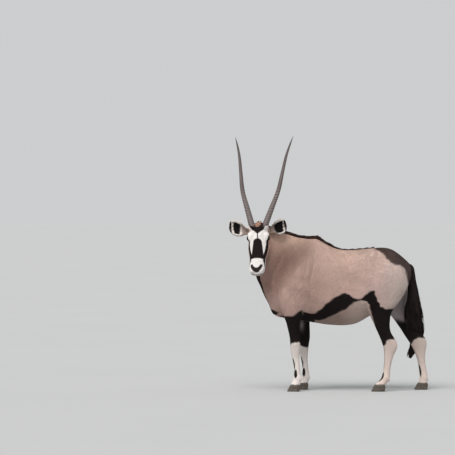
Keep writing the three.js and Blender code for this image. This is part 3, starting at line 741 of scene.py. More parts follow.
def carved(local):
    """The face with its eyes, nostrils and mouth. Round an eye the skin is laid on a ball a little bigger
    than the eye, and inside the almond it drops behind it. A nostril is a groove as deep as depth x
    e^-(distance / width)^4 and the mouth one with ^2, each with a raised rim."""
    made = local.copy()
    mirrored = on_left(local)
    hand = np.where(local[:, 0] < 0, -1.0, 1.0)
    near = (mirrored[:, 0] > 48) & (np.abs(local[:, 2] - EYE_ALONG) < 60)
    near &= np.abs(local[:, 1] - EYE_UP) < 50
    almond, away = eye_place(mirrored)
    ball = EYE_SIDE + np.sqrt(np.maximum(0, (LID_RADIUS + 1.6) ** 2 - away**2))
    lids = near * (1 - fade(away, 13, 27)) * fade(ball - EYE_SIDE, 0, 4)
    side = mix(mirrored[:, 0], ball, lids)
    side -= 1.5 * bell((almond - 1.75) / 0.16) * near
    side += 0.8 * bell((almond - 1.12) / 0.12) * near
    socket = EYE_SIDE + np.sqrt(np.maximum(0, (EYE_RADIUS - 2.5) ** 2 - away**2)) - 3
    side = mix(side, np.minimum(side, socket), near * (1 - fade(almond, 0.93, 1.03)))
    made[:, 0] = hand * side
    inward = unit(np.array([-0.35, -0.8, -0.45]))
    away = distance_to_line(mirrored, NOSTRIL)
    dip = NOSTRIL_DEPTH * bell((away / 4.6) ** 2) - 1.6 * bell((away - 8) / 3.2)
    made += dip[:, None] * inward * np.column_stack([hand, 0 * hand + 1, 0 * hand + 1])
    _, away = mouth_gap(local)
    inwards = unit((MOUTH_MIDDLE - local) * [1, 0.1, 0.8])
    part = MOUTH_DEPTH * bell(away / 2.6) - 1.6 * bell((away - 6.5) / 3.2)
    made += part[:, None] * inwards
    cleft = 2.0 * bell(local[:, 0] / 2.2) * fade(local[:, 2], 408, 424) * (local[:, 1] > -10)
    made[:, 2] -= cleft
    return made


def refined(points, faces, wanted, cuts):
    """The same skin with the wanted faces cut finer, each side in `cuts` + 1 parts."""
    built = bmesh.new()
    mesh = bpy.data.meshes.new("refining")
    mesh.from_pydata(points.tolist(), [], faces.tolist())
    built.from_mesh(mesh)
    built.faces.ensure_lookup_table()
    edges = {edge for i in np.nonzero(wanted)[0] for edge in built.faces[i].edges}
    edges = sorted(edges, key=lambda edge: edge.index)
    bmesh.ops.subdivide_edges(built, edges=edges, cuts=cuts, use_grid_fill=True)
    bmesh.ops.triangulate(built, faces=[f for f in built.faces if len(f.verts) > 4])
    built.to_mesh(mesh)
    built.free()
    places = np.empty(len(mesh.vertices) * 3)
    mesh.vertices.foreach_get("co", places)
    corners = np.empty(len(mesh.loops), np.int32)
    mesh.loops.foreach_get("vertex_index", corners)
    sizes = np.empty(len(mesh.polygons), np.int32)
    mesh.polygons.foreach_get("loop_total", sizes)
    starts = np.concatenate([[0], np.cumsum(sizes)[:-1]])
    four = corners[starts[sizes == 4][:, None] + np.arange(4)]
    three = corners[starts[sizes == 3][:, None] + np.arange(3)]
    bpy.data.meshes.remove(mesh)
    return places.reshape(-1, 3), four, three


def triangles_of(four, three):
    """All the faces as triangles, each four-sided face as two."""
    return np.vstack([four[:, [0, 1, 2]], four[:, [0, 2, 3]], three])


def make_skin():
    """The whole skin as points, four-sided and three-sided faces, and the directions out of its points."""
    points, faces = joined_skin()
    face = head_share(points)
    foot = fade(140 - points[:, 2], 0, 60)
    share = np.clip(1 - 0.6 * face - 0.5 * foot, 0.2, 1)
    edges = edges_of(faces)
    points = smoothed(points, edges, share, STEP_MOVES)
    trunk = (1 - leg_share(points)) * fade(-beyond(points, HEAD_PLANE), 0, 70)
    points = smoothed(points, edges, trunk, SEAM_MOVES)
    crease = 1 - fade(distance_to_line(points[:, [0, 2]], SHOULDER_CREASE), 60, 120)
    crease *= trunk * fade(np.abs(points[:, 1]), 40, 100) * (points[:, 2] > 600)
    points = eased(points, edges, crease, CREASE_MOVES)
    normals = normals_of(points, faces)
    leg_depth = mix(COAT_DEPTH, LEG_COAT_DEPTH, leg_share(points))
    rise = shaped(points, normals, to_head(points), face) - mix(leg_depth, FACE_COAT_DEPTH, face)
    above_hoof = fade(points[:, 2], TOE_HEIGHT, TOE_HEIGHT + 30)
    points = points + normals * (rise * mix(0.4, 1, above_hoof))[:, None]
    points[:, 2] = np.maximum(points[:, 2], TOE_HEIGHT - 2.0)
    middles = points[faces].mean(1)
    local = to_head(middles)
    mirrored = on_left(local)
    fine = (mirrored[:, 0] > 52) & (eye_place(mirrored)[1] < 30)
    fine |= distance_to_line(mirrored, NOSTRIL) < 15
    fine |= (mouth_gap(local)[1] < 10) & (local[:, 2] > MOUTH_END - 10) & (head_share(middles) > 0.5)
    points, four, three = refined(points, faces, fine, SKIN_CUTS)
    face = head_share(points)
    points = np.where(face[:, None] > 0.5, from_head(carved(to_head(points))), points)
    return points, four, three, normals_of(points, triangles_of(four, three))


# Markings. Places on the side of the body, seen level, with both sides alike
BAND = [
    [-275, 620], [-236, 608], [-196, 612], [-157, 644], [-118, 683], [-79, 714], [-39, 746], [0, 761],
    [39, 773], [71, 761], [94, 738], [126, 726], [157, 730], [188, 754], [220, 781], [251, 793], [267, 785],
    [275, 746], [290, 707], [314, 667], [353, 648], [385, 644], [420, 640], [471, 560], [471, 408],
    [393, 408], [361, 392], [338, 353], [236, 353], [180, 400], [190, 520], [246, 556], [236, 628],
    [220, 676], [200, 706], [150, 714], [110, 703], [79, 679], [39, 648], [0, 624], [-39, 608], [-79, 589],
    [-118, 569], [-157, 557], [-236, 553], [-314, 553],
]
RUMP = [
    [262, 1120], [300, 1102], [340, 1060], [380, 1020], [420, 996], [456, 986], [484, 970], [504, 948],
    [518, 900], [528, 848], [556, 800], [640, 800], [640, 1300], [262, 1300],
]
# The dark of the foreleg: its upper edge, and its lower edge on the left and on the right leg
FORE_TOP = np.array([
    [-534, 612], [-487, 585], [-447, 592], [-393, 589], [-353, 600], [-320, 628], [-300, 640], [-270, 612],
])
LEFT_FORE_END = np.array([
    [-420, 372], [-388, 372], [-360, 378], [-333, 386], [-318, 372], [-308, 352], [-300, 345],
])
RIGHT_FORE_END = np.array([[-420, 345], [-369, 341], [-337, 327], [-307, 351], [-295, 355]])
BELLY_LINE = np.array([
    [-330, 553], [-236, 553], [-157, 557], [-79, 589], [0, 624], [79, 679], [141, 710], [204, 679],
    [228, 628],
])
BACK_LINE = np.array([
    [-262, 0, 1190], [-195, 0, 1196], [-110, 0, 1154], [-40, 0, 1120], [120, 0, 1108], [265, 0, 1121],
    [400, 0, 1115], [470, 0, 1072], [546, 0, 1002],
], float)
CREST_LINE = np.vstack([NECK_ROWS[:0:-1, 0:3], BACK_LINE[:2]])
THROAT_LINE = NECK_ROWS[:, 3:6]
FOLD_LINE = np.array([
    [146, 706], [176, 708], [202, 698], [214, 668], [226, 630], [244, 580], [262, 520],
], float)
CHEST_LINES = [
    np.array([[-575, 0, 700], [-545, 0, 628], [-515, hand * 70, 600], [-480, hand * 120, 600]])
    for hand in (-1, 1)
]
# The face: along it, half the width of the dark blaze
BLAZE = np.array([
    [0, 40], [20, 60], [52, 64], [64, 62], [78, 53], [91, 41], [105, 24], [116, 8], [121, 4], [157, 4],
    [160, 12], [165, 24], [175, 31], [190, 35], [253, 43], [313, 49],
])
BLAZE_END = 313
CHEEK_STRIPE = np.array([
    [70, -4, 84], [76, 14, 112], [80, 20, 145], [80, 15, 200], [73, 20, 253], [60, 27, 300], [47, 36, 316],
], float)
CHEEK_TAIL = np.array([[59, 22, 316], [60, 13, 342], [60, 6, 366]], float)

BLACK = srgb(28, 20, 20)
RUMP_BLACK = srgb(58, 44, 42)
MANE_BROWN = srgb(72, 55, 50)
FACE_WHITE = srgb(232, 227, 225)
FORE_WHITE = srgb(220, 211, 206)
HIND_WHITE = srgb(204, 188, 180)
# the belly's pale coat, darkened with painted shade under the body
BELLY_WITH_PAINTED_SHADE = srgb(162, 140, 131)
BELLY_PALE = srgb(189, 169, 160)
INNER_THIGH = srgb(172, 160, 161)
TUFT_BROWN = srgb(190, 152, 134)
BARE_DARK = srgb(38, 31, 31)
FOLD_PALE = srgb(206, 188, 176)
LIP_PALE = srgb(214, 200, 178)
TUFT_DARK = srgb(120, 86, 68)
TAIL_CORE = srgb(30, 24, 24)
TAIL_BLACK = srgb(30, 24, 25)
TAIL_BROWN = srgb(46, 36, 35)
LASH_BLACK = srgb(28, 22, 22)
# Side view place, how far it reaches, colour: the ground colour is the mean of these, weighed by
# e^-(distance / reach) squared. Beside the coat's own tone it holds painted light and shade: a painted
# shadow of the head on the middle of the neck, and painted highlights on the top of the neck and the ribs.
GROUND_AND_PAINTED_LIGHT = [
    # painted highlight along the top of the neck
    [-353, 1195, 70, (242, 208, 189)],
    [-440, 1190, 70, (237, 203, 185)],
    [-340, 1110, 90, (172, 141, 128)],
    [-520, 880, 80, (166, 134, 122)],
    [-245, 790, 70, (186, 155, 145)],
    # painted highlight on the ribs
    [-60, 985, 100, (235, 202, 189)],
    [-510, 1120, 100, (196, 163, 146)],
    [-580, 990, 90, (176, 144, 134)],
    # painted shadow of the head on the middle of the neck
    [-440, 1010, 110, (131, 101, 92)],
    [-300, 910, 130, (194, 163, 151)],
    [-370, 765, 110, (206, 174, 164)],
    [-78, 910, 170, (207, 176, 165)],
    # painted highlight on the upper ribs
    [-78, 1060, 130, (230, 198, 183)],
    [60, 1107, 130, (214, 187, 172)],
    [235, 832, 110, (221, 191, 184)],
    [100, 900, 130, (207, 176, 165)],
    [275, 1012, 120, (213, 186, 176)],
    [353, 793, 100, (196, 176, 168)],
    [471, 808, 100, (199, 184, 178)],
    [430, 930, 90, (217, 197, 189)],
]
# The colour where none of these reaches
GROUND_TAN = (190, 162, 150)


def ground_and_painted_light(x, z):
    """The coat's colour without its markings, with painted light and shade: the weighed mean of the places
    listed above.
    """
    total, weight = np.zeros((len(x), 3)), np.full(len(x), 1e-6)
    total += 1e-6 * srgb(*GROUND_TAN)
    for at_x, at_z, reach, colour in GROUND_AND_PAINTED_LIGHT:
        w = bell((x - at_x) / reach, (z - at_z) / reach)
        total += w[:, None] * srgb(*colour)
        weight += w
    return total / weight[:, None]


def layered(colour, over, share):
    """One colour laid over another by its share at each point."""
    return colour + (over - colour) * np.clip(share, 0, 1)[:, None]


def face_colours(local, colour, apart):
    """The head: tan behind, white before, with the dark blaze, cheek stripes and nose laid over it.
    `apart` is how far each point lies before the plane where the neck joins."""
    side, up, along = np.abs(local[:, 0]), local[:, 1], local[:, 2]
    mirrored = on_left(local)
    turn = np.degrees(np.arctan2(up + 20, np.maximum(side, 1)))
    white = fade(turn, 18, 34) * fade(along, 22, 34)
    white = np.maximum(white, fade(along, BLAZE_END - 1, 330))
    white = np.maximum(white, 0.75 * fade(-turn, 42, 58) * fade(along, 150, 240) * fade(apart, 25, 70))
    colour = layered(colour, FACE_WHITE, white)
    blaze = np.minimum(np.interp(along, *BLAZE.T) - side, BLAZE_END + 4 * (side / 45) ** 2 - along)
    dark = soft_edge(blaze, 2.5) * fade(up, 0, 14)
    stripe = 20 - distance_to_line(mirrored, CHEEK_STRIPE[2:])
    line = 6.5 - distance_to_line(mirrored, CHEEK_STRIPE[:3])
    tail = 13 - 7 * fade(along, 330, 366) - distance_to_line(mirrored, CHEEK_TAIL)
    muzzle = 1 - fade(along, BLAZE_END - 1, 318) * (1 - fade(side, 44, 49))
    for field in (stripe, line, tail):
        dark = np.maximum(dark, soft_edge(field, 2.5) * muzzle)
    colour = layered(colour, BLACK, dark)
    tuft = bell((side / 26) ** 2, ((along - 30) / 22) ** 2)
    colour = layered(colour, TUFT_BROWN, tuft * fade(up, 40, 56))
    outer = 1 - np.hypot(side / 48, (along - 362) / 59)
    inner = 1 - np.hypot(side / 30, (along - 352) / 35)
    nose = soft_edge(np.minimum(outer * 50, -inner * 32), 2) * fade(along, 357, 364) * fade(up, -7, -2)
    colour = layered(colour, BARE_DARK, nose)
    almond, _ = eye_place(mirrored)
    near_eye = (side > 48) & (np.abs(along - EYE_ALONG) < 40)
    rim = (1 - fade(almond, 1.2, 1.45)) * near_eye
    above, from_mouth = mouth_gap(local)
    mouth = 1 - fade(from_mouth - 1.5 * fade(along, 410, 428), 3.0, 5.2)
    lip = fade(-above, 3, 7) * fade(along, 396, 412)
    nostril = 1 - fade(distance_to_line(mirrored, NOSTRIL), 5, 8)
    bare = np.maximum.reduce([rim, mouth * 0.9, nostril])
    colour = layered(colour, LIP_PALE, lip * 0.8)
    colour = layered(colour, BARE_DARK, bare)
    return colour, np.maximum(bare, nose)


def dark_markings(points, x, z, x_rough, z_rough, inward, head):
    """How dark each point of the body is: the flank's band, the forelegs, the spots below the joints, the
    collar and the throat. Rough places make an edge uneven, and `inward` is the share of the inner side
    of a leg."""
    y, side = points[:, 1], np.abs(points[:, 1])
    dark = soft_edge(inside_outline(x_rough, z_rough, BAND), 4) * fade(side, 30, 60)
    left_end, right_end = (np.interp(x_rough, *line.T) for line in (LEFT_FORE_END, RIGHT_FORE_END))
    lower = z_rough - np.where(y < 0, left_end, right_end)
    fore = np.minimum(np.interp(x_rough, *FORE_TOP.T) - z_rough, lower)
    on_leg = fade(side, 36, 52) * (x < -200) * (x > -560)
    dark = np.maximum(dark, soft_edge(fore, 4) * on_leg)
    dark *= 1 - inward * (x > 200) * fade(z_rough + 0.25 * (x_rough - 420), 492, 540)
    front = np.interp(z, FORE_ROWS[::-1, 0], FORE_ROWS[::-1, 1])
    patch = 1 - np.hypot((x - front) / 13, (z - 218) / 52)
    fetlock = 1 - np.hypot((x + 351) / 14, (z - 138) / 38)
    hind_front = np.interp(z, HIND_ROWS[::-1, 0], HIND_ROWS[::-1, 1])
    streak_middle, streak_half = np.where(y < 0, 112, 150), np.where(y < 0, 42, 54)
    hind_patch = 1 - np.hypot((x - hind_front - 2) / 14, (z - streak_middle) / streak_half)
    spots = np.maximum.reduce([patch * (x < 0), fetlock * (x < 0), hind_patch * (x > 0)])
    dark = np.maximum(dark, fade(spots, 0, 0.22))
    thin = (x > 0) * bell((x - hind_front) / 7) * fade(z, 160, 190) * fade(345 - z, 0, 30)
    dark = np.maximum(dark, 0.4 * thin)
    for line in CHEST_LINES:
        dark = np.maximum(dark, soft_edge(26 - distance_to_line(points, line), 5))
    throat = 27 - distance_to_line(points, THROAT_LINE)
    return np.maximum(dark, soft_edge(throat, 5) * (1 - head))


def coat_colours(points, normals):
    """The colour of the coat at every point, and how bare the skin is there."""
    x, z = standing(points)
    y, side = points[:, 1], np.abs(points[:, 1])
    x_rough, z_rough = x + 5 * wavy(points, 60, 21), z + 5 * wavy(points, 60, 22)
    head = head_share(points)
    tone = 1 + 0.05 * wavy(points, 220, 8) + 0.035 * wavy(points, 70, 9)
    # the ground colour, with its painted light and shade, times a random tone
    colour = ground_and_painted_light(x, z) * tone[:, None]
    above_belly = np.interp(x, *BELLY_LINE.T) - z
    # the underside: the belly's pale coat darkened with painted shade, also on every surface that faces
    # down
    belly = fade(above_belly, -6, 30) * (x > -330) * (x < 250)
    belly = np.maximum(belly, fade(-normals[:, 2], 0.45, 0.85) * (z < 700) * (x > -300))
    belly = np.maximum(belly, fade(above_belly, -22, -4) * (x > -250) * (x < 210))
    colour = layered(colour, mix(BELLY_WITH_PAINTED_SHADE, BELLY_PALE, fade(x, -20, 160)[:, None]), belly)
    inward = fade(-normals[:, 1] * np.sign(y), 0.1, 0.5)
    colour = layered(colour, INNER_THIGH, inward * (x > 200) * fade(z, 430, 470) * fade(800 - z, 0, 60))
    colour = layered(colour, FORE_WHITE, (x < -150) * fade(400 - z, 0, 20))
    colour = layered(colour, HIND_WHITE, (x > 150) * fade(425 - z, 0, 26))
    colour = layered(colour, BLACK, dark_markings(points, x, z, x_rough, z_rough, inward, head))

    grey_patch = inward * bell((x + 368) / 17, (z - 512) / 38)
    colour = layered(colour, INNER_THIGH * 0.8, grey_patch * 0.8)
    fold = soft_edge(6 - distance_to_line(np.column_stack([x, z]), FOLD_LINE), 3)
    colour = layered(colour, FOLD_PALE, fold * (1 - inward) * fade(side, 60, 90) * 0.85)
    colour = layered(colour, FOLD_PALE, bell((x + 294) / 6, (z - 636) / 24) * 0.7)
    trunk = (1 - soft_edge(beyond(points, NECK_PLANE), 40)) * (1 - head)
    rump = soft_edge(inside_outline(x_rough, z_rough, RUMP), 9) * trunk
    colour = layered(colour, RUMP_BLACK, rump * 0.94)
    spine = mix(10, 24, fade(x, 150, 380)) - distance_to_line(points, BACK_LINE)
    colour = layered(colour, MANE_BROWN * 0.7, soft_edge(spine, 6) * (x > -280) * 0.85)
    crest = 12 - distance_to_line(points, CREST_LINE)
    colour = layered(colour, MANE_BROWN, fade(crest, -6, 4) * (1 - head) * 0.9)

    face, bare = face_colours(to_head(points), colour, beyond(points, HEAD_PLANE))
    return layered(colour, face, head), bare * head


# Coat
def lie_of(points, normals):
    """The way the coat lies: back and down on the trunk and neck, down on the legs, from the nose to the
    poll on the head, each by its share there, made flat to the skin."""
    x = points[:, 0]
    head = head_share(points)[:, None]
    neck = fade(beyond(points, NECK_PLANE), -60, 160)[:, None]
    thigh = 0.6 * fade(900 - points[:, 2], 0, 250) * (np.abs(points[:, 1]) > 60)
    leg = np.maximum(leg_share(points), thigh)[:, None]
    local = to_head(points)
    way = np.column_stack([0 * x + 1, 0 * x, -0.25 - 0.5 * fade(x, 250, 520)])
    way = mix(way, np.array([0.62, 0.3, -0.72]), neck)
    way = mix(way, np.array([0.14, 0, -1.0]), leg)
    apart = 0.35 * np.sign(local[:, 0]) * fade(np.abs(local[:, 0]), 5, 40)
    up_face = np.column_stack([apart, 0 * x - 0.15, 0 * x - 1.0])
    way = mix(way, up_face @ HEAD_AXES.T, head)
    sway = 0.16 * wavy(points, 190, 31)[:, None] * np.cross(normals, unit(way))
    return flat_to(way + sway, normals)


def spread_roots(points, triangles, share, count, draw):
    """Roots spread evenly over the triangles, in proportion to their area x share: which triangle each
    stands on, and the shares of its three corners there."""
    a, b, c = (points[triangles[:, k]] for k in range(3))
    area = np.linalg.norm(np.cross(b - a, c - a), axis=1) * share
    upto = np.cumsum(area)
    wanted = (np.arange(count) + draw.random(count)) / count * upto[-1]
    chosen = np.minimum(np.searchsorted(upto, wanted), len(triangles) - 1)
    p, q = draw.random(count), draw.random(count)
    over = p + q > 1
    p, q = np.where(over, 1 - p, p), np.where(over, 1 - q, q)
    return chosen, np.column_stack([1 - p - q, p, q])


def unwrapped(points, sections):
    """A point's place on the unwrap of a loft: the turn round its nearest section, and that section's
    number."""
    rows = smooth_rows(sections, UNWRAP_STEP, 9)
    middle = (rows[:, 0:3] + rows[:, 3:6]) / 2
    nearest = np.concatenate([
        np.argmin(np.linalg.norm(part[:, None] - middle, axis=2), axis=1)
        for part in np.array_split(points, 12)
    ])
    away = points - middle[nearest]
    up, side = unit(rows[nearest, 0:3] - rows[nearest, 3:6]), unit(rows[nearest, 6:9])
    ahead = unit(np.roll(middle, -1, 0) - middle)[np.minimum(nearest, len(middle) - 2)]
    turn = np.arctan2(np.sum(away * up, 1), np.sum(away * side, 1)) / (2 * np.pi) + 0.5
    step = np.clip(np.sum(away * ahead, 1) / UNWRAP_STEP, -0.5, 0.5)
    return np.column_stack([turn, np.clip((nearest + step) / len(rows), 0, 1)])


def on_patch(places):
    """Places on the unwrap from 0 to 1, drawn in a little from its edges."""
    return 0.01 + 0.97 * places


PATCH_SIZE = 0.003


TUFT_FACES = np.array([[0, 1, 2], [1, 0, 3], [2, 1, 3], [0, 2, 3]])
TUFT_PATCH = np.array([[0.1, 0], [0.9, 0], [0.5, 0.3], [0.5, 1]]) * PATCH_SIZE
# How much paler the tip of a tuft is than its three root corners
TUFT_SHADE = np.array([0.96, 0.96, 0.98, 1.04])


def curve_along(corners, corner_normals, lie):
    """How fast the skin bends away along the lie: the change of the normal over a triangle, 1 / mm."""
    e, f = corners[:, 1] - corners[:, 0], corners[:, 2] - corners[:, 0]
    square = np.cross(e, f)
    size = np.maximum(np.sum(square * square, 1), 1e-9)
    a = np.sum(np.cross(lie, f) * square, 1) / size
    b = np.sum(np.cross(e, lie) * square, 1) / size
    change = (
        a[:, None] * (corner_normals[:, 1] - corner_normals[:, 0])
        + b[:, None] * (corner_normals[:, 2] - corner_normals[:, 0])
    )
    return np.clip(np.sum(change * lie, 1), -0.02, 0.02)


def tuft_points(roots, normals, lie, length, width, lift, curve):
    """Four points to a tuft: three corners at its root, two of them sunk in the skin, and a tip that
    comes down with the skin by half the curve x the length squared."""
    across = (width / 2)[:, None] * np.cross(normals, lie)
    base = roots - 0.14 * normals
    top = roots + normals * (0.045 * width)[:, None]
    tip = roots + lie * length[:, None] + normals * (lift - 0.5 * curve * length**2)[:, None]
    return np.stack([base - across, base + across, top, tip], 1)


def coat_piece(name, skin, region, length, width, lift, count, map_of, finish, seed):
    """One piece of the coat, whose tufts grow by the region's share of each triangle. Length, width and
    lift are functions of the roots' places, and `map_of` leads those to the unwrap."""
    points, triangles, normals, bare, soft = skin
    draw = np.random.default_rng(seed)
    count = int(count * TUFT_SHARE)
    chosen, share = spread_roots(points, triangles, region, count, draw)
    corners = triangles[chosen]
    roots = np.einsum("nk,nki->ni", share, points[corners])
    out = unit(np.einsum("nk,nki->ni", share, normals[corners]))
    keep = np.einsum("nk,nk->n", share, bare[corners]) < 0.35
    roots, out = roots[keep], out[keep]
    lie = lie_of(roots, out)
    lie = flat_to(lie + 0.13 * draw.normal(size=lie.shape), out)
    long = length(roots) * draw.uniform(0.7, 1.2, len(roots))
    wide = width(roots) * draw.uniform(0.75, 1.2, len(roots)) / TUFT_SHARE**0.5
    high = lift(roots) * draw.uniform(0.5, 1.2, len(roots))
    curve = curve_along(points[corners[keep]], soft[corners[keep]], lie)
    made = tuft_points(roots, out, lie, long, wide, high, curve)
    reach = long[:, None]
    seen_at = roots + 0.55 * reach * lie + 0.12 * reach * draw.normal(size=roots.shape)
    colour, _ = coat_colours(seen_at, out)
    tone = 1 + 0.035 * draw.normal(size=len(roots))[:, None, None]
    colours = np.clip(colour[:, None] * TUFT_SHADE[None, :, None] * tone, 0, 1)
    faces = [(TUFT_FACES + 4 * np.arange(len(roots))[:, None, None]).reshape(-1, 3)]
    patch = on_patch(map_of(roots))[:, None] + TUFT_PATCH
    add_piece(
        name, made.reshape(-1, 3), faces, finish,
        carried={"coat": colours.reshape(-1, 3)}, patch=patch.reshape(-1, 2),
    )


def leg_places(roots, which):
    """Both legs of a pair side by side on one unwrap."""
    made = np.zeros((len(roots), 2))
    for half, name in enumerate((f"{which}_left", f"{which}_right")):
        rows, hand = LEGS[name]
        mine = np.sign(roots[:, 1]) == hand
        if mine.any():
            made[mine] = unwrapped(roots[mine], leg_sections(rows, hand)) * [0.49, 1] + [0.5 * half, 0]
    return made


def head_map(roots):
    return unwrapped(to_head(roots), head_sections())


def neck_map(roots):
    return unwrapped(roots, neck_sections())


def torso_map(roots):
    return unwrapped(roots, torso_sections())


def foreleg_map(roots):
    return leg_places(roots, "foreleg")


def hindleg_map(roots):
    return leg_places(roots, "hindleg")


def even(value):
    """The same number at every root."""
    return lambda roots: np.full(len(roots), value)


def from_face(roots):
    """0 where the neck meets the head, 1 well behind it."""
    return fade(-beyond(roots, HEAD_PLANE), -10, 130)


def face_length(roots):
    return mix(6.0, 10.0, fade(330 - to_head(roots)[:, 2], 0, 260))


def neck_length(roots):
    return mix(9.0, mix(13.0, 18.0, fade(-350 - roots[:, 0], -250, 120)), from_face(roots))


def neck_lift(roots):
    return mix(0.6, 0.75, from_face(roots))


def trunk_length(roots):
    return 17.0 + 5 * fade(620 - roots[:, 2], 0, 60)


def leg_length(roots):
    return mix(7.0, 15.0, fade(roots[:, 2], 60, 620))


def leg_width(roots):
    return mix(1.5, 2.3, fade(roots[:, 2], 60, 520))


def leg_lift(roots):
    return mix(0.25, 0.7, fade(roots[:, 2], 100, 520))


def make_coat(points, four, three, normals, bare, finish):
    """All pieces of the coat: the head, the neck, the four quarters of the trunk and the two pairs of
    legs. Where two of them meet, each grows by its share, so that no edge shows."""
    triangles = triangles_of(four, three)
    middle = points[triangles].mean(1)
    x, z = middle[:, 0], middle[:, 2]
    head = head_share(middle) > 0.5
    neck = ~head * soft_edge(beyond(middle, NECK_PLANE), 80)
    leg = ~head * (1 - neck) * fade(leg_share(middle), 0.2, 0.7)
    trunk = ~head * (1 - neck) * (1 - leg)
    rear = fade(x, -220, 100)
    local = on_left(to_head(middle))
    on_eye = head & (eye_place(local)[0] < 1.3) & (local[:, 0] > 48)
    sparse = np.where(head, mix(0.6, 1.0, fade(local[:, 2], 40, 330)), 1.0)
    sparse = sparse * ((z > TOE_HEIGHT + 1) & ~on_eye)
    soft = unit(smoothed(normals, edges_of(triangles), np.ones(len(points)), NORMAL_MOVES))
    skin = (points, triangles, normals, bare, soft)
    left = middle[:, 1] < 0
    shoulder = (trunk_length, even(2.8), even(0.75), PIECE_TUFTS, torso_map)
    back = (trunk_length, even(2.9), even(0.75), PIECE_TUFTS, torso_map)
    legs = (leg_length, leg_width, leg_lift)
    made = [
        ("coat_head", head, face_length, even(1.7), even(0.6), HEAD_TUFTS, head_map),
        ("coat_neck", neck, neck_length, even(2.6), neck_lift, PIECE_TUFTS, neck_map),
        ("coat_shoulder_left", trunk * left * (1 - rear), *shoulder),
        ("coat_shoulder_right", trunk * ~left * (1 - rear), *shoulder),
        ("coat_back_left", trunk * left * rear, *back),
        ("coat_back_right", trunk * ~left * rear, *back),
        ("coat_forelegs", leg * (x < 0), *legs, FORELEG_TUFTS, foreleg_map),
        ("coat_hindlegs", leg * (x >= 0), *legs, PIECE_TUFTS, hindleg_map),
    ]
    for number, (name, region, length, width, lift, count, map_of) in enumerate(made):
        coat_piece(name, skin, region * sparse, length, width, lift, count, map_of, finish, 100 + number)


# Locks
def lock_mesh(paths, sides, widths, thicks):
    """Flat tapered locks: four points round each point of a path, `widths` across and `thicks` through,
    closed at the root and drawn to a point at the tip. Paths are locks x points x 3."""
    count, steps = paths.shape[:2]
    ahead = unit(np.gradient(paths, axis=1))
    side = flat_to(np.broadcast_to(sides[:, None], paths.shape), ahead)
    up = np.cross(ahead, side)
    t = np.linspace(0, 1, steps)
    taper = np.sin(np.pi * mix(0.3, 1, t) ** 1.2)[:, None]
    w = np.broadcast_to(np.asarray(widths, float).reshape(-1, 1, 1), (count, 1, 1)) * taper / 2
    h = np.broadcast_to(np.asarray(thicks, float).reshape(-1, 1, 1), (count, 1, 1)) * taper / 2
    rings = np.stack([paths + side * w, paths + up * h, paths - side * w, paths - up * h], 2)[:, :-1]
    points = np.concatenate([rings.reshape(count, -1, 3), paths[:, -1:]], 1)
    size = points.shape[1]
    i, j = np.meshgrid(np.arange(steps - 2), np.arange(4), indexing="ij")
    a, b = i * 4 + j, i * 4 + (j + 1) % 4
    quads = np.stack([a, b, b + 4, a + 4], -1).reshape(-1, 4)
    quads = np.vstack([quads, [[3, 2, 1, 0]]])
    edge = (steps - 2) * 4
    j = np.arange(4)
    tips = np.column_stack([edge + j, edge + (j + 1) % 4, np.full(4, size - 1)])
    step = size * np.arange(count)[:, None, None]
    faces = [(quads[None] + step).reshape(-1, 4), (tips[None] + step).reshape(-1, 3)]
    return points.reshape(-1, 3), faces, size


def lock_colours(colours, size, draw, root, tip):
    """Each lock's colour at all its points, by the root's tone and the tip's."""
    count = len(colours)
    t = np.minimum(np.arange(size) // 4 / max((size - 1) // 4, 1), 1)
    tone = (1 + 0.12 * draw.normal(size=count))[:, None, None]
    return np.clip(colours[:, None] * mix(root, tip, t)[None, :, None] * tone, 0, 1).reshape(-1, 3)


def lock_patches(places, size):
    """A small patch on the unwrap for each lock, at its root's place there."""
    spread = np.column_stack([np.arange(size) % 4 / 4, np.arange(size) / size]) * PATCH_SIZE
    return (on_patch(places)[:, None] + spread).reshape(-1, 2)


def add_locks(name, finish, lock, colours, places, draw, tones=(0.75, 1.15)):
    """A piece of many locks, from what lock_mesh made, each lock's colour, its root's place on the unwrap
    and the tones of roots and tips."""
    points, faces, size = lock
    shades = lock_colours(colours, size, draw, *tones)
    add_piece(name, points, faces, finish, carried={"coat": shades}, patch=lock_patches(places, size))


# The mane: the place where it starts between the ears, the step of the rows of its line, and how far
# along the back it goes on as short hairs
MANE_START = [-628, -152, 1306]
MANE_STEP = 6
BACK_HAIRS = 225


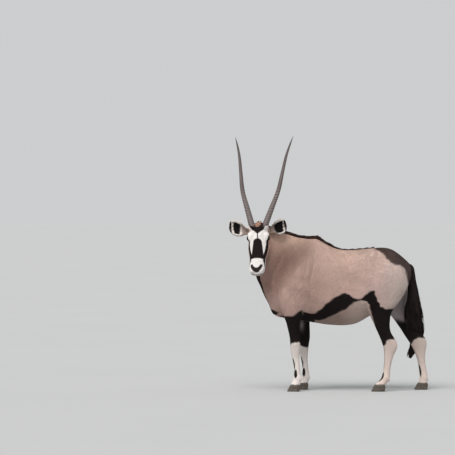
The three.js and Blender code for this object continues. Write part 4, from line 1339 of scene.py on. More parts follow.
def make_mane(finish):
    """Locks along the crest that stand up and lean back, and short ones behind them along the back: each
    rises by a quarter sine and goes back by its length x t^1.6."""
    draw = np.random.default_rng(7)
    line = np.vstack([[MANE_START], CREST_LINE[1:-2], BACK_LINE[:4], [[40, 0, 1106]], BACK_LINE[4:6]])
    crest = smooth_rows(line, MANE_STEP, 3)
    upright_share = 1 - BACK_HAIRS / (MANE_STEP * len(crest))
    count = int(MANE_LOCKS * TUFT_SHARE)
    place = draw.random(count)
    at = place * (len(crest) - 2)
    i = at.astype(int)
    root = mix(crest[i], crest[i + 1], (at - i)[:, None])
    back = unit(crest[i + 1] - crest[i])
    across = unit(np.column_stack([-back[:, 1], back[:, 0], 0 * at]))
    aside = draw.uniform(-1, 1, count)
    on_neck = place / upright_share
    full = np.minimum(1, np.minimum(0.25 + on_neck * 8, (1 - on_neck) * 5 + 0.1))
    full = np.where(on_neck > 0.96, 0.3 + 0.12 * np.sin(on_neck * 90), full)
    height = draw.uniform(11, 21, count) * full * (1 - 0.35 * aside**2)
    length = draw.uniform(30, 56, count) * full
    root = root + across * (aside * 9)[:, None] - [0, 0, 9]
    t = np.linspace(0, 1, 6)[None, :, None]
    lean = across * (aside * draw.uniform(2, 9, count))[:, None]
    rise = (9 + height)[:, None, None] * np.sin(np.pi / 2 * t) * [0, 0, 1]
    paths = root[:, None] + rise + back[:, None] * length[:, None, None] * t**1.6 + lean[:, None] * t
    sides = unit(back + 0.6 * across * draw.normal(size=(count, 1)))
    lock = lock_mesh(paths, sides, draw.uniform(5, 9, count), 2.2)
    colours = mix(MANE_BROWN, BLACK, draw.random((count, 1)) * 0.5)
    places = np.column_stack([0.5 + 0.4 * aside, place])
    add_locks("mane", finish, lock, colours, places, draw)


def make_forelock(finish):
    """Short locks on the brow, bent over towards the nose: each rises by a part of a sine."""
    draw = np.random.default_rng(11)
    count = int(FORELOCK_LOCKS * max(TUFT_SHARE, 0.5))
    side, start = draw.uniform(-12, 32, count), draw.uniform(20, 48, count)
    reach = draw.uniform(16, 28, count) * (1 - 0.3 * (side / 24) ** 2)
    t = np.linspace(0, 1, 6)[None, :]
    foot = 50 + draw.uniform(-2, 3, count)[:, None]
    up = foot + draw.uniform(11, 17, count)[:, None] * np.sin(0.62 * np.pi * t)
    paths = np.stack([side[:, None] * (1 - 0.25 * t), up, start[:, None] + reach[:, None] * t], -1)
    points, faces, size = lock_mesh(paths, np.tile([1.0, 0, 0], (count, 1)), draw.uniform(4, 7, count), 2.0)
    colours = mix(TUFT_BROWN, TUFT_DARK, draw.random((count, 1)) * 0.6)
    places = np.column_stack([0.5 + side / 60, start / 60])
    add_locks("forelock", finish, (from_head(points), faces, size), colours, places, draw)


# Tail: its middle line with its half width across the body's length and across the body's width
TAIL_ROWS = np.array([
    [524, 0, 984, 24, 24], [548, 0, 966, 28, 25], [560, 2, 920, 29, 24], [565, 5, 860, 33, 24],
    [572, 9, 795, 41, 27], [577, 18, 715, 51, 34], [578, 40, 636, 67, 40], [588, 72, 557, 73, 40],
    [612, 122, 488, 60, 36], [621, 178, 430, 49, 32], [604, 208, 370, 42, 26], [582, 214, 300, 27, 16],
    [560, 212, 240, 10, 7],
], float)
TAIL_PATH = smooth_rows(TAIL_ROWS, 12, 3)


def in_tail(t, turn, share):
    """A place in the tail: its middle line at t, plus its half widths x share x the cosine and sine of
    the turn, in a section square to that line."""
    at = np.clip(t, 0, 0.9999) * (len(TAIL_PATH) - 1)
    i = at.astype(int)
    row = mix(TAIL_PATH[i], TAIL_PATH[i + 1], (at - i)[..., None])
    before, after = np.maximum(i - 2, 0), np.minimum(i + 3, len(TAIL_PATH) - 1)
    ahead = unit(TAIL_PATH[after, :3] - TAIL_PATH[before, :3])
    out = flat_to(np.broadcast_to([0.0, 1, 0], ahead.shape), ahead)
    back = np.cross(out, ahead)
    long, wide = row[..., 3:4] * share[..., None], row[..., 4:5] * share[..., None]
    return row[..., :3] + back * long * np.cos(turn)[..., None] + out * wide * np.sin(turn)[..., None]


def tail_hair_colours(draw, count):
    """Near black, each hair somewhere between two tones."""
    return mix(TAIL_BLACK, TAIL_BROWN, draw.random((count, 1)))


def make_tail(finish):
    """A thin core, and locks along it that follow the tail's own line: short ones on the dock, long
    waving ones that fill the brush from its middle to its outer side."""
    t, turn = np.meshgrid(np.linspace(0, 0.82, 90), 2 * np.pi * np.arange(24) / 24, indexing="ij")
    share = mix(0.88, 0.42, fade(t, 0.28, 0.6)) * mix(1, 0.2, fade(t, 0.7, 0.82))
    points, walls, ends = closed_tube(in_tail(t, turn, share))
    add_piece(
        "tail_core", points, [walls, ends], finish, stands_for=("tail",),
        carried={"coat": np.tile(TAIL_CORE, (len(points), 1))},
    )
    draw = np.random.default_rng(23)
    count = int(TAIL_LOCKS * TUFT_SHARE)
    dock = draw.random(count) < 0.34
    start = np.where(dock, draw.uniform(0.0, 0.32, count), draw.uniform(0.16, 0.74, count))
    length = np.where(dock, draw.uniform(0.05, 0.09, count), draw.uniform(0.2, 0.36, count))
    end = np.minimum(1, start + length)
    turn = draw.uniform(0, 2 * np.pi, count)
    outer = draw.uniform(0.6, 1.08, count)
    inner = np.where(start < 0.34, 0.82, 0.4)
    s = np.linspace(0, 1, 8)[None, :]
    waves = s * draw.uniform(0.5, 1.3, count)[:, None] + draw.random(count)[:, None]
    shares = mix(inner[:, None], np.where(dock, 1.0, outer)[:, None], np.sqrt(s))
    turns = turn[:, None] + 0.16 * np.sin(2 * np.pi * waves) * s
    paths = in_tail(mix(start[:, None], end[:, None], s), turns, shares)
    sides = np.column_stack([-np.sin(turn), np.cos(turn), 0 * turn])
    widths = np.where(dock, 6.0, draw.uniform(7, 13, count))
    lock = lock_mesh(paths, sides, widths, np.where(dock, 2.0, 3.0))
    colours = tail_hair_colours(draw, count)
    places = np.column_stack([turn / (2 * np.pi), start])
    add_locks("tail_hair", finish, lock, colours, places, draw, (0.8, 1.25))


# Loose strands of the tail: root, tip, how far the roots and tips are scattered, how many
TAIL_STRANDS = [
    [(552, 34, 700), (522, 50, 470), (10, 10, 40), (8, 14, 26), 46],
    [(578, 210, 345), (546, 212, 262), (16, 8, 28), (12, 10, 18), 34],
]


def make_tail_strands(finish):
    """Thin strands that hang clear of the tail: straight from root to tip, plus a bulge of half a sine."""
    draw = np.random.default_rng(29)
    roots, tips = [], []
    for root, tip, root_spread, tip_spread, count in TAIL_STRANDS:
        count = int(count * max(TUFT_SHARE, 0.5))
        roots.append(np.array(root) + draw.uniform(-1, 1, (count, 3)) * root_spread)
        tips.append(np.array(tip) + draw.uniform(-1, 1, (count, 3)) * tip_spread)
    roots, tips = np.vstack(roots)[:, None], np.vstack(tips)[:, None]
    count = len(roots)
    s = np.linspace(0, 1, 8)[None, :, None]
    bulge = draw.uniform(-9, 9, (count, 1, 1)) * np.sin(np.pi * s) * [1.0, 0.5, 0]
    sides = np.tile([1.0, 0, 0], (count, 1))
    lock = lock_mesh(mix(roots, tips, s) + bulge, sides, draw.uniform(2.5, 5, count), 1.6)
    colours = tail_hair_colours(draw, count)
    places = draw.random((count, 2))
    add_locks("tail_strands", finish, lock, colours, places, draw, (0.8, 1.25))


# Horns: share of the length, distance from the head's middle, radius, how far they bend back
HORN_ROWS = np.array([
    [-0.03, 43, 27, 0], [0, 49, HORN_RADIUS, 0], [0.2, 96, 23.5, 0], [0.38, 139, 18.5, 3],
    [0.6, 166, 13.8, 12], [0.8, 190, 10.5, 26], [0.93, 215, 6.4, 38], [1, 231, 1.4, 44],
])
HORN_SWAY = 9
HORN_ALONG = 62
HORN_UP = 48
HORN_LEAN = math.radians(12)
HORN_RINGS = 22
# The flesh round a horn's root: where it ends along the horn, and how thick it is
HORN_SLEEVE = -0.004
SLEEVE_DEPTH = 4.5
RINGED_SHARE = 0.58
RING_RISE = 2.8


def horn_place(hand, t, turn, grow):
    """A place on a horn: at t along it, its middle + (radius + grow) x the cosine and sine of the turn."""
    rows = smooth_rows(HORN_ROWS, 1 / 300, 1)
    side, radius, bend = (np.interp(t, rows[:, 0], rows[:, k]) for k in (1, 2, 3))
    sunk = fade(-t, 0.0, 0.05)
    r = radius * (1 - 0.3 * sunk) + grow
    reach = HORN_LENGTH * t
    across = hand * (side + r * np.cos(turn)) + HORN_SWAY * (1 - t)
    up = HORN_UP - reach * math.sin(HORN_LEAN) - bend - 30 * sunk + r * np.sin(turn)
    along = HORN_ALONG - reach * math.cos(HORN_LEAN) - 0.3 * r * np.cos(turn)
    return from_head(np.stack([across, up, along], -1))


def make_horn(word, hand, finish):
    """A tapering bent rod. Its radius swells at each ring by 2.8 x |sin|^0.7 of the ring's turn, less
    behind and less towards the middle of the horn, and the rings tilt a little and are uneven as grown
    ones are."""
    draw = np.random.default_rng(40 + hand)
    t = np.concatenate([np.linspace(-0.03, RINGED_SHARE, 300), np.linspace(RINGED_SHARE, 1, 70)[1:]])
    t, turn = np.meshgrid(t, 2 * np.pi * np.arange(48) / 48, indexing="ij")
    uneven = 0.35 * np.sin(9 * t + draw.uniform(0, 6)) + 0.2 * np.sin(31 * t + draw.uniform(0, 6))
    phase = HORN_RINGS * t / RINGED_SHARE + uneven + 0.16 * np.cos(turn + 0.6)
    ring = np.abs(np.sin(np.pi * phase)) ** 0.7
    kept = fade(RINGED_SHARE - t, 0, 0.3) * fade(t, -0.01, 0.03)
    front = 0.75 + 0.25 * np.sin(turn)
    flutes = 0.25 * np.sin(13 * turn) * fade(t, 0, 0.1) * fade(1 - t, 0, 0.3)
    foot = -8 * fade(-t, 0.0, 0.02)
    grow = kept * (RING_RISE * ring * front - 1.2) + flutes + foot
    points, walls, ends = closed_tube(horn_place(hand, t, turn, grow))
    pole = [0.0, 0.0]
    add_piece(
        f"ringed_horn_{word}", points, [walls, ends], finish, stands_for=(f"horn_{word}",),
        carried={
            "ring": np.concatenate([(ring * kept).ravel(), pole]),
            "reach": np.concatenate([t.ravel(), [0, 1]]),
            "turn_sine": np.concatenate([np.sin(turn).ravel(), pole]),
            "turn_cosine": np.concatenate([np.cos(turn).ravel(), pole]),
        },
    )


# Ears: a cup. Share of the length, half width, how far it wraps round in degrees
EAR_ROWS = np.array([
    [-0.24, 15, 150], [-0.12, 19, 150], [0, 21, 145], [0.14, 23, 130], [0.26, 28, 110], [0.36, 40, 92],
    [0.46, 51, 78], [0.6, 58, 68], [0.78, 58, 58], [0.9, 50, 50], [0.96, 38, 45], [1, 18, 40],
], float)
EAR_ROOT = np.array([66.0, -28, 87])
EAR_AXES = {1: unit(np.array([0.76, -0.41, -0.52])), -1: unit(np.array([0.97, -0.1, -0.38]))}
EAR_FACING = np.array([0.10, 0.93, 0.0])
EAR_SLANT = 0.35
# From where to where along each ear its cup is dark
EAR_CUP = {1: (0.40, 0.89), -1: (0.48, 0.86)}
EAR_WALL = 5.0
EAR_PALE = srgb(222, 214, 208)
EAR_FOOT = srgb(150, 131, 122)
EAR_BLACK = srgb(17, 13, 14)
EAR_BACK = srgb(206, 194, 186)
EAR_BACK_FOOT = srgb(160, 137, 125)
EAR_BACK_DARK = srgb(46, 36, 34)
EAR_EDGE = srgb(26, 20, 20)
EAR_FRINGE = srgb(226, 219, 214)
# Hairs on an ear's rims, behind it and in its cup. Each row: their share of all, from where to where they
# start along and across the ear, their shortest and longest, how much of that they run along it, width,
# thickness
EAR_HAIRS = [
    (0.3, (0.06, 0.9), (0.93, 0.995), (10, 18), 0.3, 2.2, 0.9),
    (0.45, (0.0, 0.93), (-0.98, 0.98), (9, 15), 1.0, 3.4, 1.0),
    (0.25, (0.1, 0.9), (-0.8, 0.8), (8, 14), 0.9, 2.6, 0.9),
]


def ear_place(hand, t, s, depth):
    """A place on the ear: t along it, s from -1 to 1 across it, depth in from its outer side. The section
    is an arc of half width / sin(wrap), the arc turns by wrap x s, and its lower side is drawn back by
    the slant."""
    along = EAR_AXES[hand]
    facing = flat_to(EAR_FACING, along)
    wide = np.cross(along, facing)
    rows = smooth_rows(EAR_ROWS, 0.02, 1)
    half, wrap = np.interp(t, rows[:, 0], rows[:, 1]), np.radians(np.interp(t, rows[:, 0], rows[:, 2]))
    radius = half / np.sin(np.minimum(np.pi / 2, wrap))
    r = np.maximum(radius - depth, 0.3 * radius)
    turn = wrap * s
    place = (
        EAR_ROOT + along * (EAR_LENGTH * t - EAR_SLANT * r * np.sin(turn) * fade(t, 0, 0.4))[..., None]
        + wide * (r * np.sin(turn))[..., None]
        + facing * (radius - r * np.cos(turn) - 0.6 * half)[..., None]
    )
    return from_head(place * [hand, 1, 1])


def ear_colour(t, s, inside, span):
    """Dark in the cup over the span, white towards the rims, with a black edge round the tip and the
    lower side, and pale tan behind."""
    cup = fade(0.88 - np.abs(s), 0, 0.07) * fade(t - 0.05 * s - span[0], 0, 0.06)
    cup *= fade(span[1] - t - 0.10 * np.maximum(s, 0) - 0.02 * s**2, 0, 0.03)
    tip = np.maximum(fade(t + 0.03 * s, 0.895, 0.915), fade(s, 0.94, 0.97) * fade(t, 0.5, 0.6))
    base = fade(0.5 - t, 0, 0.12)
    inner = layered(np.tile(EAR_PALE, (len(t), 1)), EAR_FOOT, base * 0.85)
    inner = layered(inner, EAR_BLACK, cup)
    outer = layered(np.tile(EAR_BACK, (len(t), 1)), EAR_BACK_FOOT, base)
    outer = layered(outer, EAR_BACK_DARK, fade(t, 0.66, 0.80) * 0.95)
    colour = np.where(inside[:, None], inner, outer)
    return layered(colour, EAR_EDGE, tip)


def ear_wall(t):
    """How thick the ear is at t along it, as a share of its thickness at the root."""
    return mix(1.0, 0.45, np.clip(t, 0, 1))


def make_ear(word, hand, finish):
    """The cup of an ear: its outer side from rim to rim and its inner side back again, closed at both
    ends."""
    t, j = np.meshgrid(np.linspace(-0.24, 1, 70), np.arange(72), indexing="ij")
    inside = j >= 36
    s = np.where(inside, 1 - 2 * (j - 36) / 35, -1 + 2 * j / 35)
    depth = np.where(inside, EAR_WALL * ear_wall(t) * (1 - 0.6 * np.abs(s) ** 4), 0.0)
    points, walls, ends = closed_tube(ear_place(hand, t, s, depth))
    colour = ear_colour(t.ravel(), s.ravel(), inside.ravel(), EAR_CUP[hand])
    colour = np.vstack([colour, colour[:1], colour[-1:]])
    add_piece(
        f"ear_cup_{word}", points, [walls, ends], finish, stands_for=(f"ear_{word}",),
        carried={"coat": colour, "bare": np.full(len(points), 0.0)},
    )


def make_ear_hair(word, hand, finish):
    """Short hairs that follow the ear's surface from their roots, lift off it by a quarter sine and, on
    the rims, turn in over the cup."""
    draw = np.random.default_rng(60 + hand)
    count = int(EAR_LOCKS * TUFT_SHARE)
    shares, alongs, acrosses, lengths, runs, widths, thicks = zip(*EAR_HAIRS)
    group = draw.choice(3, count, p=shares)
    rim, behind = group == 0, group == 1
    edge = np.where(draw.random(count) < 0.5, -1.0, 1.0)
    spread = draw.random(count)
    start_t = np.choose(group, [draw.uniform(*span, count) for span in alongs])
    start_s = np.choose(group, [draw.uniform(*span, count) for span in acrosses])
    start_s = np.where(rim, edge * start_s, start_s)
    size = np.choose(group, [draw.uniform(*span, count) for span in lengths])
    inward = np.choose(group, [0.12 + 0.14 * spread, 0.05 * (spread - 0.5), 0.15 * (spread - 0.5)])
    lift = np.choose(group, [4 + 2 * spread, -2.2 - spread, 2.0 + spread])
    foot = np.choose(group, [EAR_WALL + 1.5, 0, EAR_WALL - 1.5]) * ear_wall(start_t) - 0.4 * behind
    k = np.linspace(0, 1, 5)[None, :]
    run = (np.choose(group, runs) * size)[:, None] / EAR_LENGTH
    path_t = np.minimum(start_t[:, None] + run * k, 1.01)
    path_s = start_s[:, None] * (1 - inward[:, None] * k)
    path_depth = foot[:, None] + lift[:, None] * np.sin(np.pi / 2 * k)
    paths = ear_place(hand, path_t, path_s, path_depth)
    along = paths[:, -1] - paths[:, 0]
    none = 0 * spread
    outward = ear_place(hand, start_t, start_s, none) - ear_place(hand, start_t, start_s, none + 5)
    sides = unit(np.cross(along, outward))
    lock = lock_mesh(paths, sides, np.choose(group, widths), np.choose(group, thicks))
    colours = ear_colour(start_t, start_s, ~behind, EAR_CUP[hand])
    fringe = rim * 0.9 * fade(0.89 - start_t, 0, 0.04) * fade(start_t, 0.4, 0.5)
    colours = layered(colours, EAR_FRINGE, fringe)
    places = np.column_stack([0.5 + 0.45 * start_s, np.clip((start_t + behind) / 2, 0, 1)])
    add_locks(f"ear_hair_{word}", finish, lock, colours, places, draw, (0.85, 1.05))


# Eyes
GAZE = unit(np.array([0.90, 0.38, 0.14]))


def make_eye(word, hand, finish):
    """A ball round the line of sight, with the cornea as a low dome: 1.1 x e^-(angle / 0.5) squared."""
    angle, turn = np.meshgrid(
        np.linspace(0.02, np.pi - 0.02, 60), 2 * np.pi * np.arange(48) / 48, indexing="ij",
    )
    radius = EYE_RADIUS - 0.4 + 1.1 * bell(angle / 0.5)
    level = unit(np.cross([0.0, 0.3, 1.0], GAZE))
    upright = np.cross(GAZE, level)
    u, v = np.sin(angle) * np.cos(turn), np.sin(angle) * np.sin(turn)
    way = GAZE * np.cos(angle)[..., None] + level * v[..., None] + upright * u[..., None]
    place = radius[..., None] * way
    points, walls, ends = closed_tube(from_head((place + EYE_MIDDLE) * [hand, 1, 1]))
    add_piece(
        f"eyeball_{word}", points, [walls, ends], finish, stands_for=(f"eye_{word}",),
        carried={
            "iris_along": np.concatenate([u.ravel(), [0, 0]]),
            "iris_across": np.concatenate([v.ravel(), [0, 0]]),
            "iris_front": np.concatenate([np.cos(angle).ravel(), [1, -1]]),
        },
    )


def make_lid_rim(word, hand, finish):
    """A thin closed tube along the edge of the lids: 1.7 mm wide to each side of it and 1.5 mm in and
    out."""
    count, sides = 72, 10
    line = lid_line(2 * np.pi * np.arange(count) / count, 1.04)
    ahead = unit(np.roll(line, -1, 0) - np.roll(line, 1, 0))
    away = unit(line)
    beside = np.cross(ahead, away)
    ring = (2 * np.pi * np.arange(sides) / sides)[None, :, None]
    tube = line[:, None] + EYE_MIDDLE
    tube = tube + 1.7 * np.cos(ring) * beside[:, None] + 1.5 * np.sin(ring) * away[:, None]
    i, j = np.meshgrid(np.arange(count), np.arange(sides), indexing="ij")
    here, far = i * sides, ((i + 1) % count) * sides
    after = (j + 1) % sides
    walls = np.stack([here + j, here + after, far + after, far + j], -1).reshape(-1, 4)
    points = from_head(tube.reshape(-1, 3) * [hand, 1, 1])
    add_piece(
        f"lid_rim_{word}", points, [walls], finish,
        carried={"coat": np.tile(BARE_DARK * 0.8, (len(points), 1)), "bare": np.ones(len(points))},
    )


def make_lashes(finish):
    """Short dark lashes along both upper lids, bent down and out by their reach x t squared."""
    draw = np.random.default_rng(77)
    turn = draw.uniform(0.2 * np.pi, 0.8 * np.pi, LASHES)
    root = lid_line(turn, 1.06) + EYE_MIDDLE
    t = np.linspace(0, 1, 5)[None, :, None]
    reach = draw.uniform(4.5, 7.5, LASHES)[:, None, None]
    aside = (0.25 * 1.06 * np.cos(turn) * EYE_HALF_LONG)[:, None, None]
    path = root[:, None] + reach * t * [0.95, 0.35, 0] - reach * t**2 * [0, 0.75, 0] + aside * t * [0, 0, 1]
    paths = np.concatenate([from_head(path * [hand, 1, 1]) for hand in (-1, 1)])
    lock = lock_mesh(paths, np.tile(HEAD_AXES[:, 2], (2 * LASHES, 1)), 0.9, 0.6)
    colours = np.tile(LASH_BLACK, (2 * LASHES, 1))
    add_locks("lashes", finish, lock, colours, draw.random((2 * LASHES, 2)), draw)


# A toe: height, how far its front and its back stand behind those of the leg, share of its full width
TOE_ROWS = np.array([
    [0, -24, -8, 0.84], [1.2, -26, -6, 0.9], [7, -25, -4, 1], [22, -17, -1, 1],
    [TOE_HEIGHT - 1, -2, -1, 0.98], [TOE_HEIGHT + 7, 6, -8, 0.8],
])
TOE_HALF_WIDTH = 16.5
TOE_SQUARENESS = 0.85
TOE_EGG = 0.32


def make_hooves(finish):
    """Each toe is a loft that widens to the ground, pointed in front, flat below and sunk into the leg
    above."""
    height, toe, heel, full = TOE_ROWS.T
    none = 0 * height
    for name, (rows, hand) in LEGS.items():
        front, back, middle = rows[-1][1:4]
        toes = []
        for side in (-hand, hand):
            place = hand * middle + side * TOE_SPREAD
            sections = np.column_stack([
                front + toe, place - side * 3 * np.maximum(0, 1 - height / TOE_HEIGHT), height,
                back + heel, place + none, height, none, TOE_HALF_WIDTH * full, none,
                none + TOE_SQUARENESS, none + TOE_EGG,
            ])
            toes.append(section_rings(smooth_rows(sections, 2.5, 9), 40))
        points, walls, ends = closed_tubes(toes)
        add_piece(
            f"hoof_{name}", points, [walls, ends], finish,
            stands_for=(f"toe_inner_{name}", f"toe_outer_{name}"),
        )


# Finishes
class Wire:
    """An output socket of a node. Sums, differences and products of wires make the nodes that work them
    out."""

    def __init__(self, finish, socket):
        self.finish, self.socket = finish, socket

    def __add__(self, other):
        return self.finish.maths("ADD", self, other)

    def __rsub__(self, other):
        return self.finish.maths("SUBTRACT", other, self)

    def __mul__(self, other):
        return self.finish.maths("MULTIPLY", self, other)

    __radd__, __rmul__ = __add__, __mul__


class Finish:
    """A node material that is built from expressions."""

    def __init__(self, name):
        self.material = bpy.data.materials.new(name)
        self.material.use_nodes = True
        self.tree = self.material.node_tree
        self.tree.nodes.clear()

    def node(self, kind, settings=(), sockets=()):
        made = self.tree.nodes.new("ShaderNode" + kind)
        for key, value in dict(settings).items():
            setattr(made, key, value)
        for key, value in dict(sockets).items():
            if isinstance(value, Wire):
                self.tree.links.new(value.socket, made.inputs[key])
            elif made.inputs[key].type == "RGBA" and len(value) == 3:
                made.inputs[key].default_value = (*value, 1)
            else:
                made.inputs[key].default_value = value
        return made

    def wire(self, node, output=0):
        return Wire(self, node.outputs[output])

    def maths(self, operation, a, b=0.0):
        return self.wire(self.node("Math", {"operation": operation}, {0: a, 1: b}))

    def step(self, value, low, high):
        """0 at low, 1 at high, with a smooth S between."""
        sockets = {"Value": value, "From Min": low, "From Max": high}
        return self.wire(self.node("MapRange", {"interpolation_type": "SMOOTHSTEP"}, sockets))

    def places(self, scale=(1, 1, 1)):
        where = self.wire(self.node("TexCoord"), "Object")
        return self.wire(self.node("Mapping", {"vector_type": "POINT"}, {"Vector": where, "Scale": scale}))

    def noise(self, where, scale, detail=3.0, rough=0.55):
        sockets = {"Vector": where, "Scale": scale, "Detail": detail, "Roughness": rough}
        return self.wire(self.node("TexNoise", {}, sockets))

    def number(self, name):
        return self.wire(self.node("Attribute", {"attribute_name": name}), "Fac")

    def colour(self, name):
        return self.wire(self.node("Attribute", {"attribute_name": name}), "Color")

    def blend(self, share, a, b, way="MIX"):
        settings = {"data_type": "RGBA", "blend_type": way}
        return self.wire(self.node("Mix", settings, {0: share, 6: a, 7: b}), 2)

    def place_of(self, x, y, z):
        return self.wire(self.node("CombineXYZ", {}, {0: x, 1: y, 2: z}))

    def bump(self, height, deep, strength):
        return self.wire(self.node("Bump", {}, {"Strength": strength, "Distance": deep, "Height": height}))

    def shade(self, **sockets):
        """Ends the material in one glossy shader with these sockets, their names with _ for a space."""
        named = {key.replace("_", " "): value for key, value in sockets.items()}
        shader = self.wire(self.node("BsdfPrincipled", {}, named))
        self.node("OutputMaterial", {}, {"Surface": shader})
        return self.material


def coat_finish(name, on_skin):
    """Hair: the carried colour, uneven from hair to hair and from patch to patch, with the streaks of the
    lie."""
    f = Finish(name)
    fine = f.noise(f.places(), 520, 2.0)
    broad = f.noise(f.places(), 17, 3.0)
    tone = 0.80 + 0.30 * fine + 0.12 * broad
    colour = f.blend(1.0, f.colour("coat"), tone, "MULTIPLY")
    if not on_skin:
        return f.shade(Base_Color=colour, Roughness=0.72 + 0.2 * fine, Specular_IOR_Level=0.12)
    bare = f.number("bare")
    streak_level = f.noise(f.places((0.12, 1, 1)), 620, 2.0)
    streak_down = f.noise(f.places((1, 1, 0.12)), 620, 2.0)
    upright = f.number("upright")
    streak = streak_level * (1 - upright) + streak_down * upright
    pebble = f.noise(f.places(), 700, 2.0)
    height = streak * (1 - bare) + pebble * bare * 0.4
    colour = f.blend(1.0, colour, 0.94 + 0.24 * streak, "MULTIPLY")
    rough = (0.78 + 0.15 * fine) * (1 - bare) + 0.42 * bare
    return f.shade(
        Base_Color=colour, Roughness=rough, Specular_IOR_Level=0.2, Normal=f.bump(height, 0.0007, 0.35),
    )


def horn_finish():
    """Grey horn with a grain along it, paler on the rings, blotched, and darker towards the tip."""
    f = Finish("ringed_horn")
    ring, reach = f.number("ring"), f.number("reach")
    around = f.place_of(f.number("turn_sine"), f.number("turn_cosine"), reach * 0.9)
    grain = f.noise(around, 9.0, 5.0, 0.65)
    blotch = f.noise(f.places(), 34, 3.0)
    colour = f.blend(f.step(grain, 0.3, 0.7), tuple(srgb(56, 47, 46)), tuple(srgb(92, 80, 77)))
    colour = f.blend(f.step(ring, 0.45, 1.0) * 0.55, colour, tuple(srgb(126, 117, 116)))
    colour = f.blend(f.step(blotch, 0.5, 0.8) * 0.4, colour, tuple(srgb(50, 41, 40)))
    colour = f.blend(f.step(reach, 0.62, 0.98) * 0.5, colour, tuple(srgb(60, 52, 50)))
    fibre = f.noise(around, 26.0, 3.0, 0.6)
    return f.shade(
        Base_Color=colour, Roughness=0.42 + 0.25 * grain, Specular_IOR_Level=0.45,
        Normal=f.bump(grain * 0.6 + fibre * 0.5, 0.0012, 0.55),
    )


def hoof_finish():
    """Grey-brown hoof with level growth rings, dusty near the ground."""
    f = Finish("hoof_horn")
    rings = f.noise(f.places((0.25, 0.25, 1)), 260, 2.0)
    scuff = f.noise(f.places(), 120, 4.0)
    height = f.wire(f.node("SeparateXYZ", {}, {0: f.places()}), 2)
    colour = f.blend(rings, tuple(srgb(58, 51, 46)), tuple(srgb(88, 79, 71)))
    dust = f.step(scuff, 0.5, 0.75) * (1 - f.step(height, 0.0, 0.045))
    colour = f.blend(dust * 0.85, colour, tuple(srgb(150, 136, 122)))
    return f.shade(
        Base_Color=colour, Roughness=0.38 + 0.3 * scuff, Normal=f.bump(rings + 0.4 * scuff, 0.001, 0.5),
    )


def eye_finish():
    """A wet dark eye with a level pupil in a brown iris."""
    f = Finish("dark_eye")
    along, across, front = f.number("iris_along"), f.number("iris_across"), f.number("iris_front")
    pupil = f.step((along * along) * 26 + (across * across) * 8, 1.25, 0.8)
    iris = f.step(along * along + across * across, 0.56, 0.46) * f.step(front, 0.0, 0.05)
    rays = f.noise(f.place_of(along, across, 0.0), 30, 3.0)
    brown = f.blend(rays, tuple(srgb(30, 19, 13)), tuple(srgb(60, 38, 24)))
    colour = f.blend(iris, tuple(srgb(30, 22, 20)), brown)
    colour = f.blend(pupil, colour, tuple(srgb(8, 7, 8)))
    return f.shade(
        Base_Color=colour, Roughness=0.16 + 0.1 * rays, Coat_Weight=1.0, Coat_Roughness=0.03, IOR=1.4,
    )


def floor_finish():
    """A plain pale studio floor."""
    f = Finish("pale_floor")
    cloud = f.noise(f.places(), 0.6, 3.0)
    colour = f.blend(cloud, tuple(srgb(172, 174, 175)), tuple(srgb(177, 179, 180)))
    return f.shade(Base_Color=colour, Roughness=0.9 + 0.05 * cloud, Specular_IOR_Level=0.1)


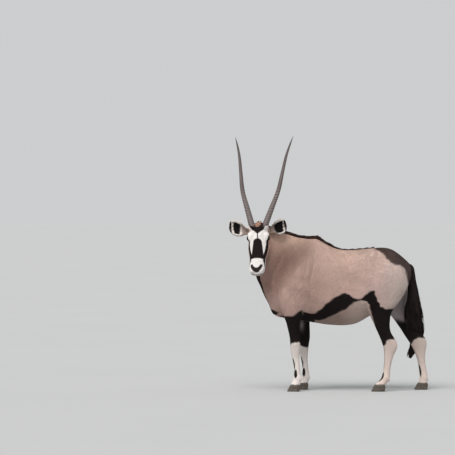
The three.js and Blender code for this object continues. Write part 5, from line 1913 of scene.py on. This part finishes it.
# The animal
skin_points, skin_four, skin_three, skin_normals = make_skin()
skin_colour, skin_bare = coat_colours(skin_points, skin_normals)
hair = coat_finish("coat_hair", False)
under_coat = coat_finish("coat_skin", True)
lie_down = np.abs(lie_of(skin_points, skin_normals)[:, 2])
add_piece(
    "skin", skin_points, [faces for faces in (skin_four, skin_three) if len(faces)], under_coat,
    stands_for=("torso", "neck", "head", *LEGS),
    carried={"coat": skin_colour, "bare": skin_bare, "upright": fade(lie_down, 0.4, 0.8)},
)
make_coat(skin_points, skin_four, skin_three, skin_normals, skin_bare, hair)
make_mane(hair)
make_forelock(hair)
make_tail(hair)
make_tail_strands(hair)
ringed, glossy = horn_finish(), eye_finish()
for word, hand in (("left", 1), ("right", -1)):
    make_horn(word, hand, ringed)
    make_ear(word, hand, hair)
    make_ear_hair(word, hand, hair)
    make_eye(word, hand, glossy)
    make_lid_rim(word, hand, under_coat)
make_lashes(hair)
make_hooves(hoof_finish())

# Floor, light and camera
FLOOR_HALF = 120.0
LENS = 252.0
SENSOR = 36.0
CAMERA_PLACE = [-883, -25000, 1590]
CAMERA_PITCH = -0.71
floor_points = np.array([[-1, -1, 0], [1, -1, 0], [1, 1, 0], [-1, 1, 0]]) * FLOOR_HALF
floor_mesh = bare_mesh("floor", floor_points, [np.array([[0, 1, 2, 3]])])
floor_mesh.materials.append(floor_finish())
floor = bpy.data.objects.new("floor", floor_mesh)
bpy.context.scene.collection.objects.link(floor)

sky = bpy.data.worlds.new("studio")
sky.use_nodes = True
sky.node_tree.nodes["Background"].inputs["Color"].default_value = (0.98, 0.99, 1.0, 1)
sky.node_tree.nodes["Background"].inputs["Strength"].default_value = 0.62
bpy.context.scene.world = sky


def add_sun(name, toward, power, size, colour):
    """A soft far light that shines along a direction. Its size is the angle that it fills, in degrees."""
    lamp = bpy.data.lights.new(name, "SUN")
    lamp.energy, lamp.angle, lamp.color = power, math.radians(size), colour
    sun = bpy.data.objects.new(name, lamp)
    x, y, z = toward
    slope = math.acos(-z / math.sqrt(x * x + y * y + z * z))
    sun.rotation_euler = (slope, 0, math.atan2(y, x) + math.pi / 2 + math.pi)
    bpy.context.scene.collection.objects.link(sun)


add_sun("key", (0.28, 0.62, -1.0), 3.1, 40, (1.0, 0.97, 0.93))

lens = bpy.data.cameras.new("camera")
lens.lens, lens.sensor_width = LENS, SENSOR
lens.clip_start, lens.clip_end = 1.0, 400.0
camera = bpy.data.objects.new("camera", lens)
camera.location = in_metres(CAMERA_PLACE)
camera.rotation_euler = (math.radians(90 + CAMERA_PITCH), 0, 0)
bpy.context.scene.collection.objects.link(camera)
bpy.context.scene.camera = camera
bpy.context.scene.view_settings.view_transform = "Standard"
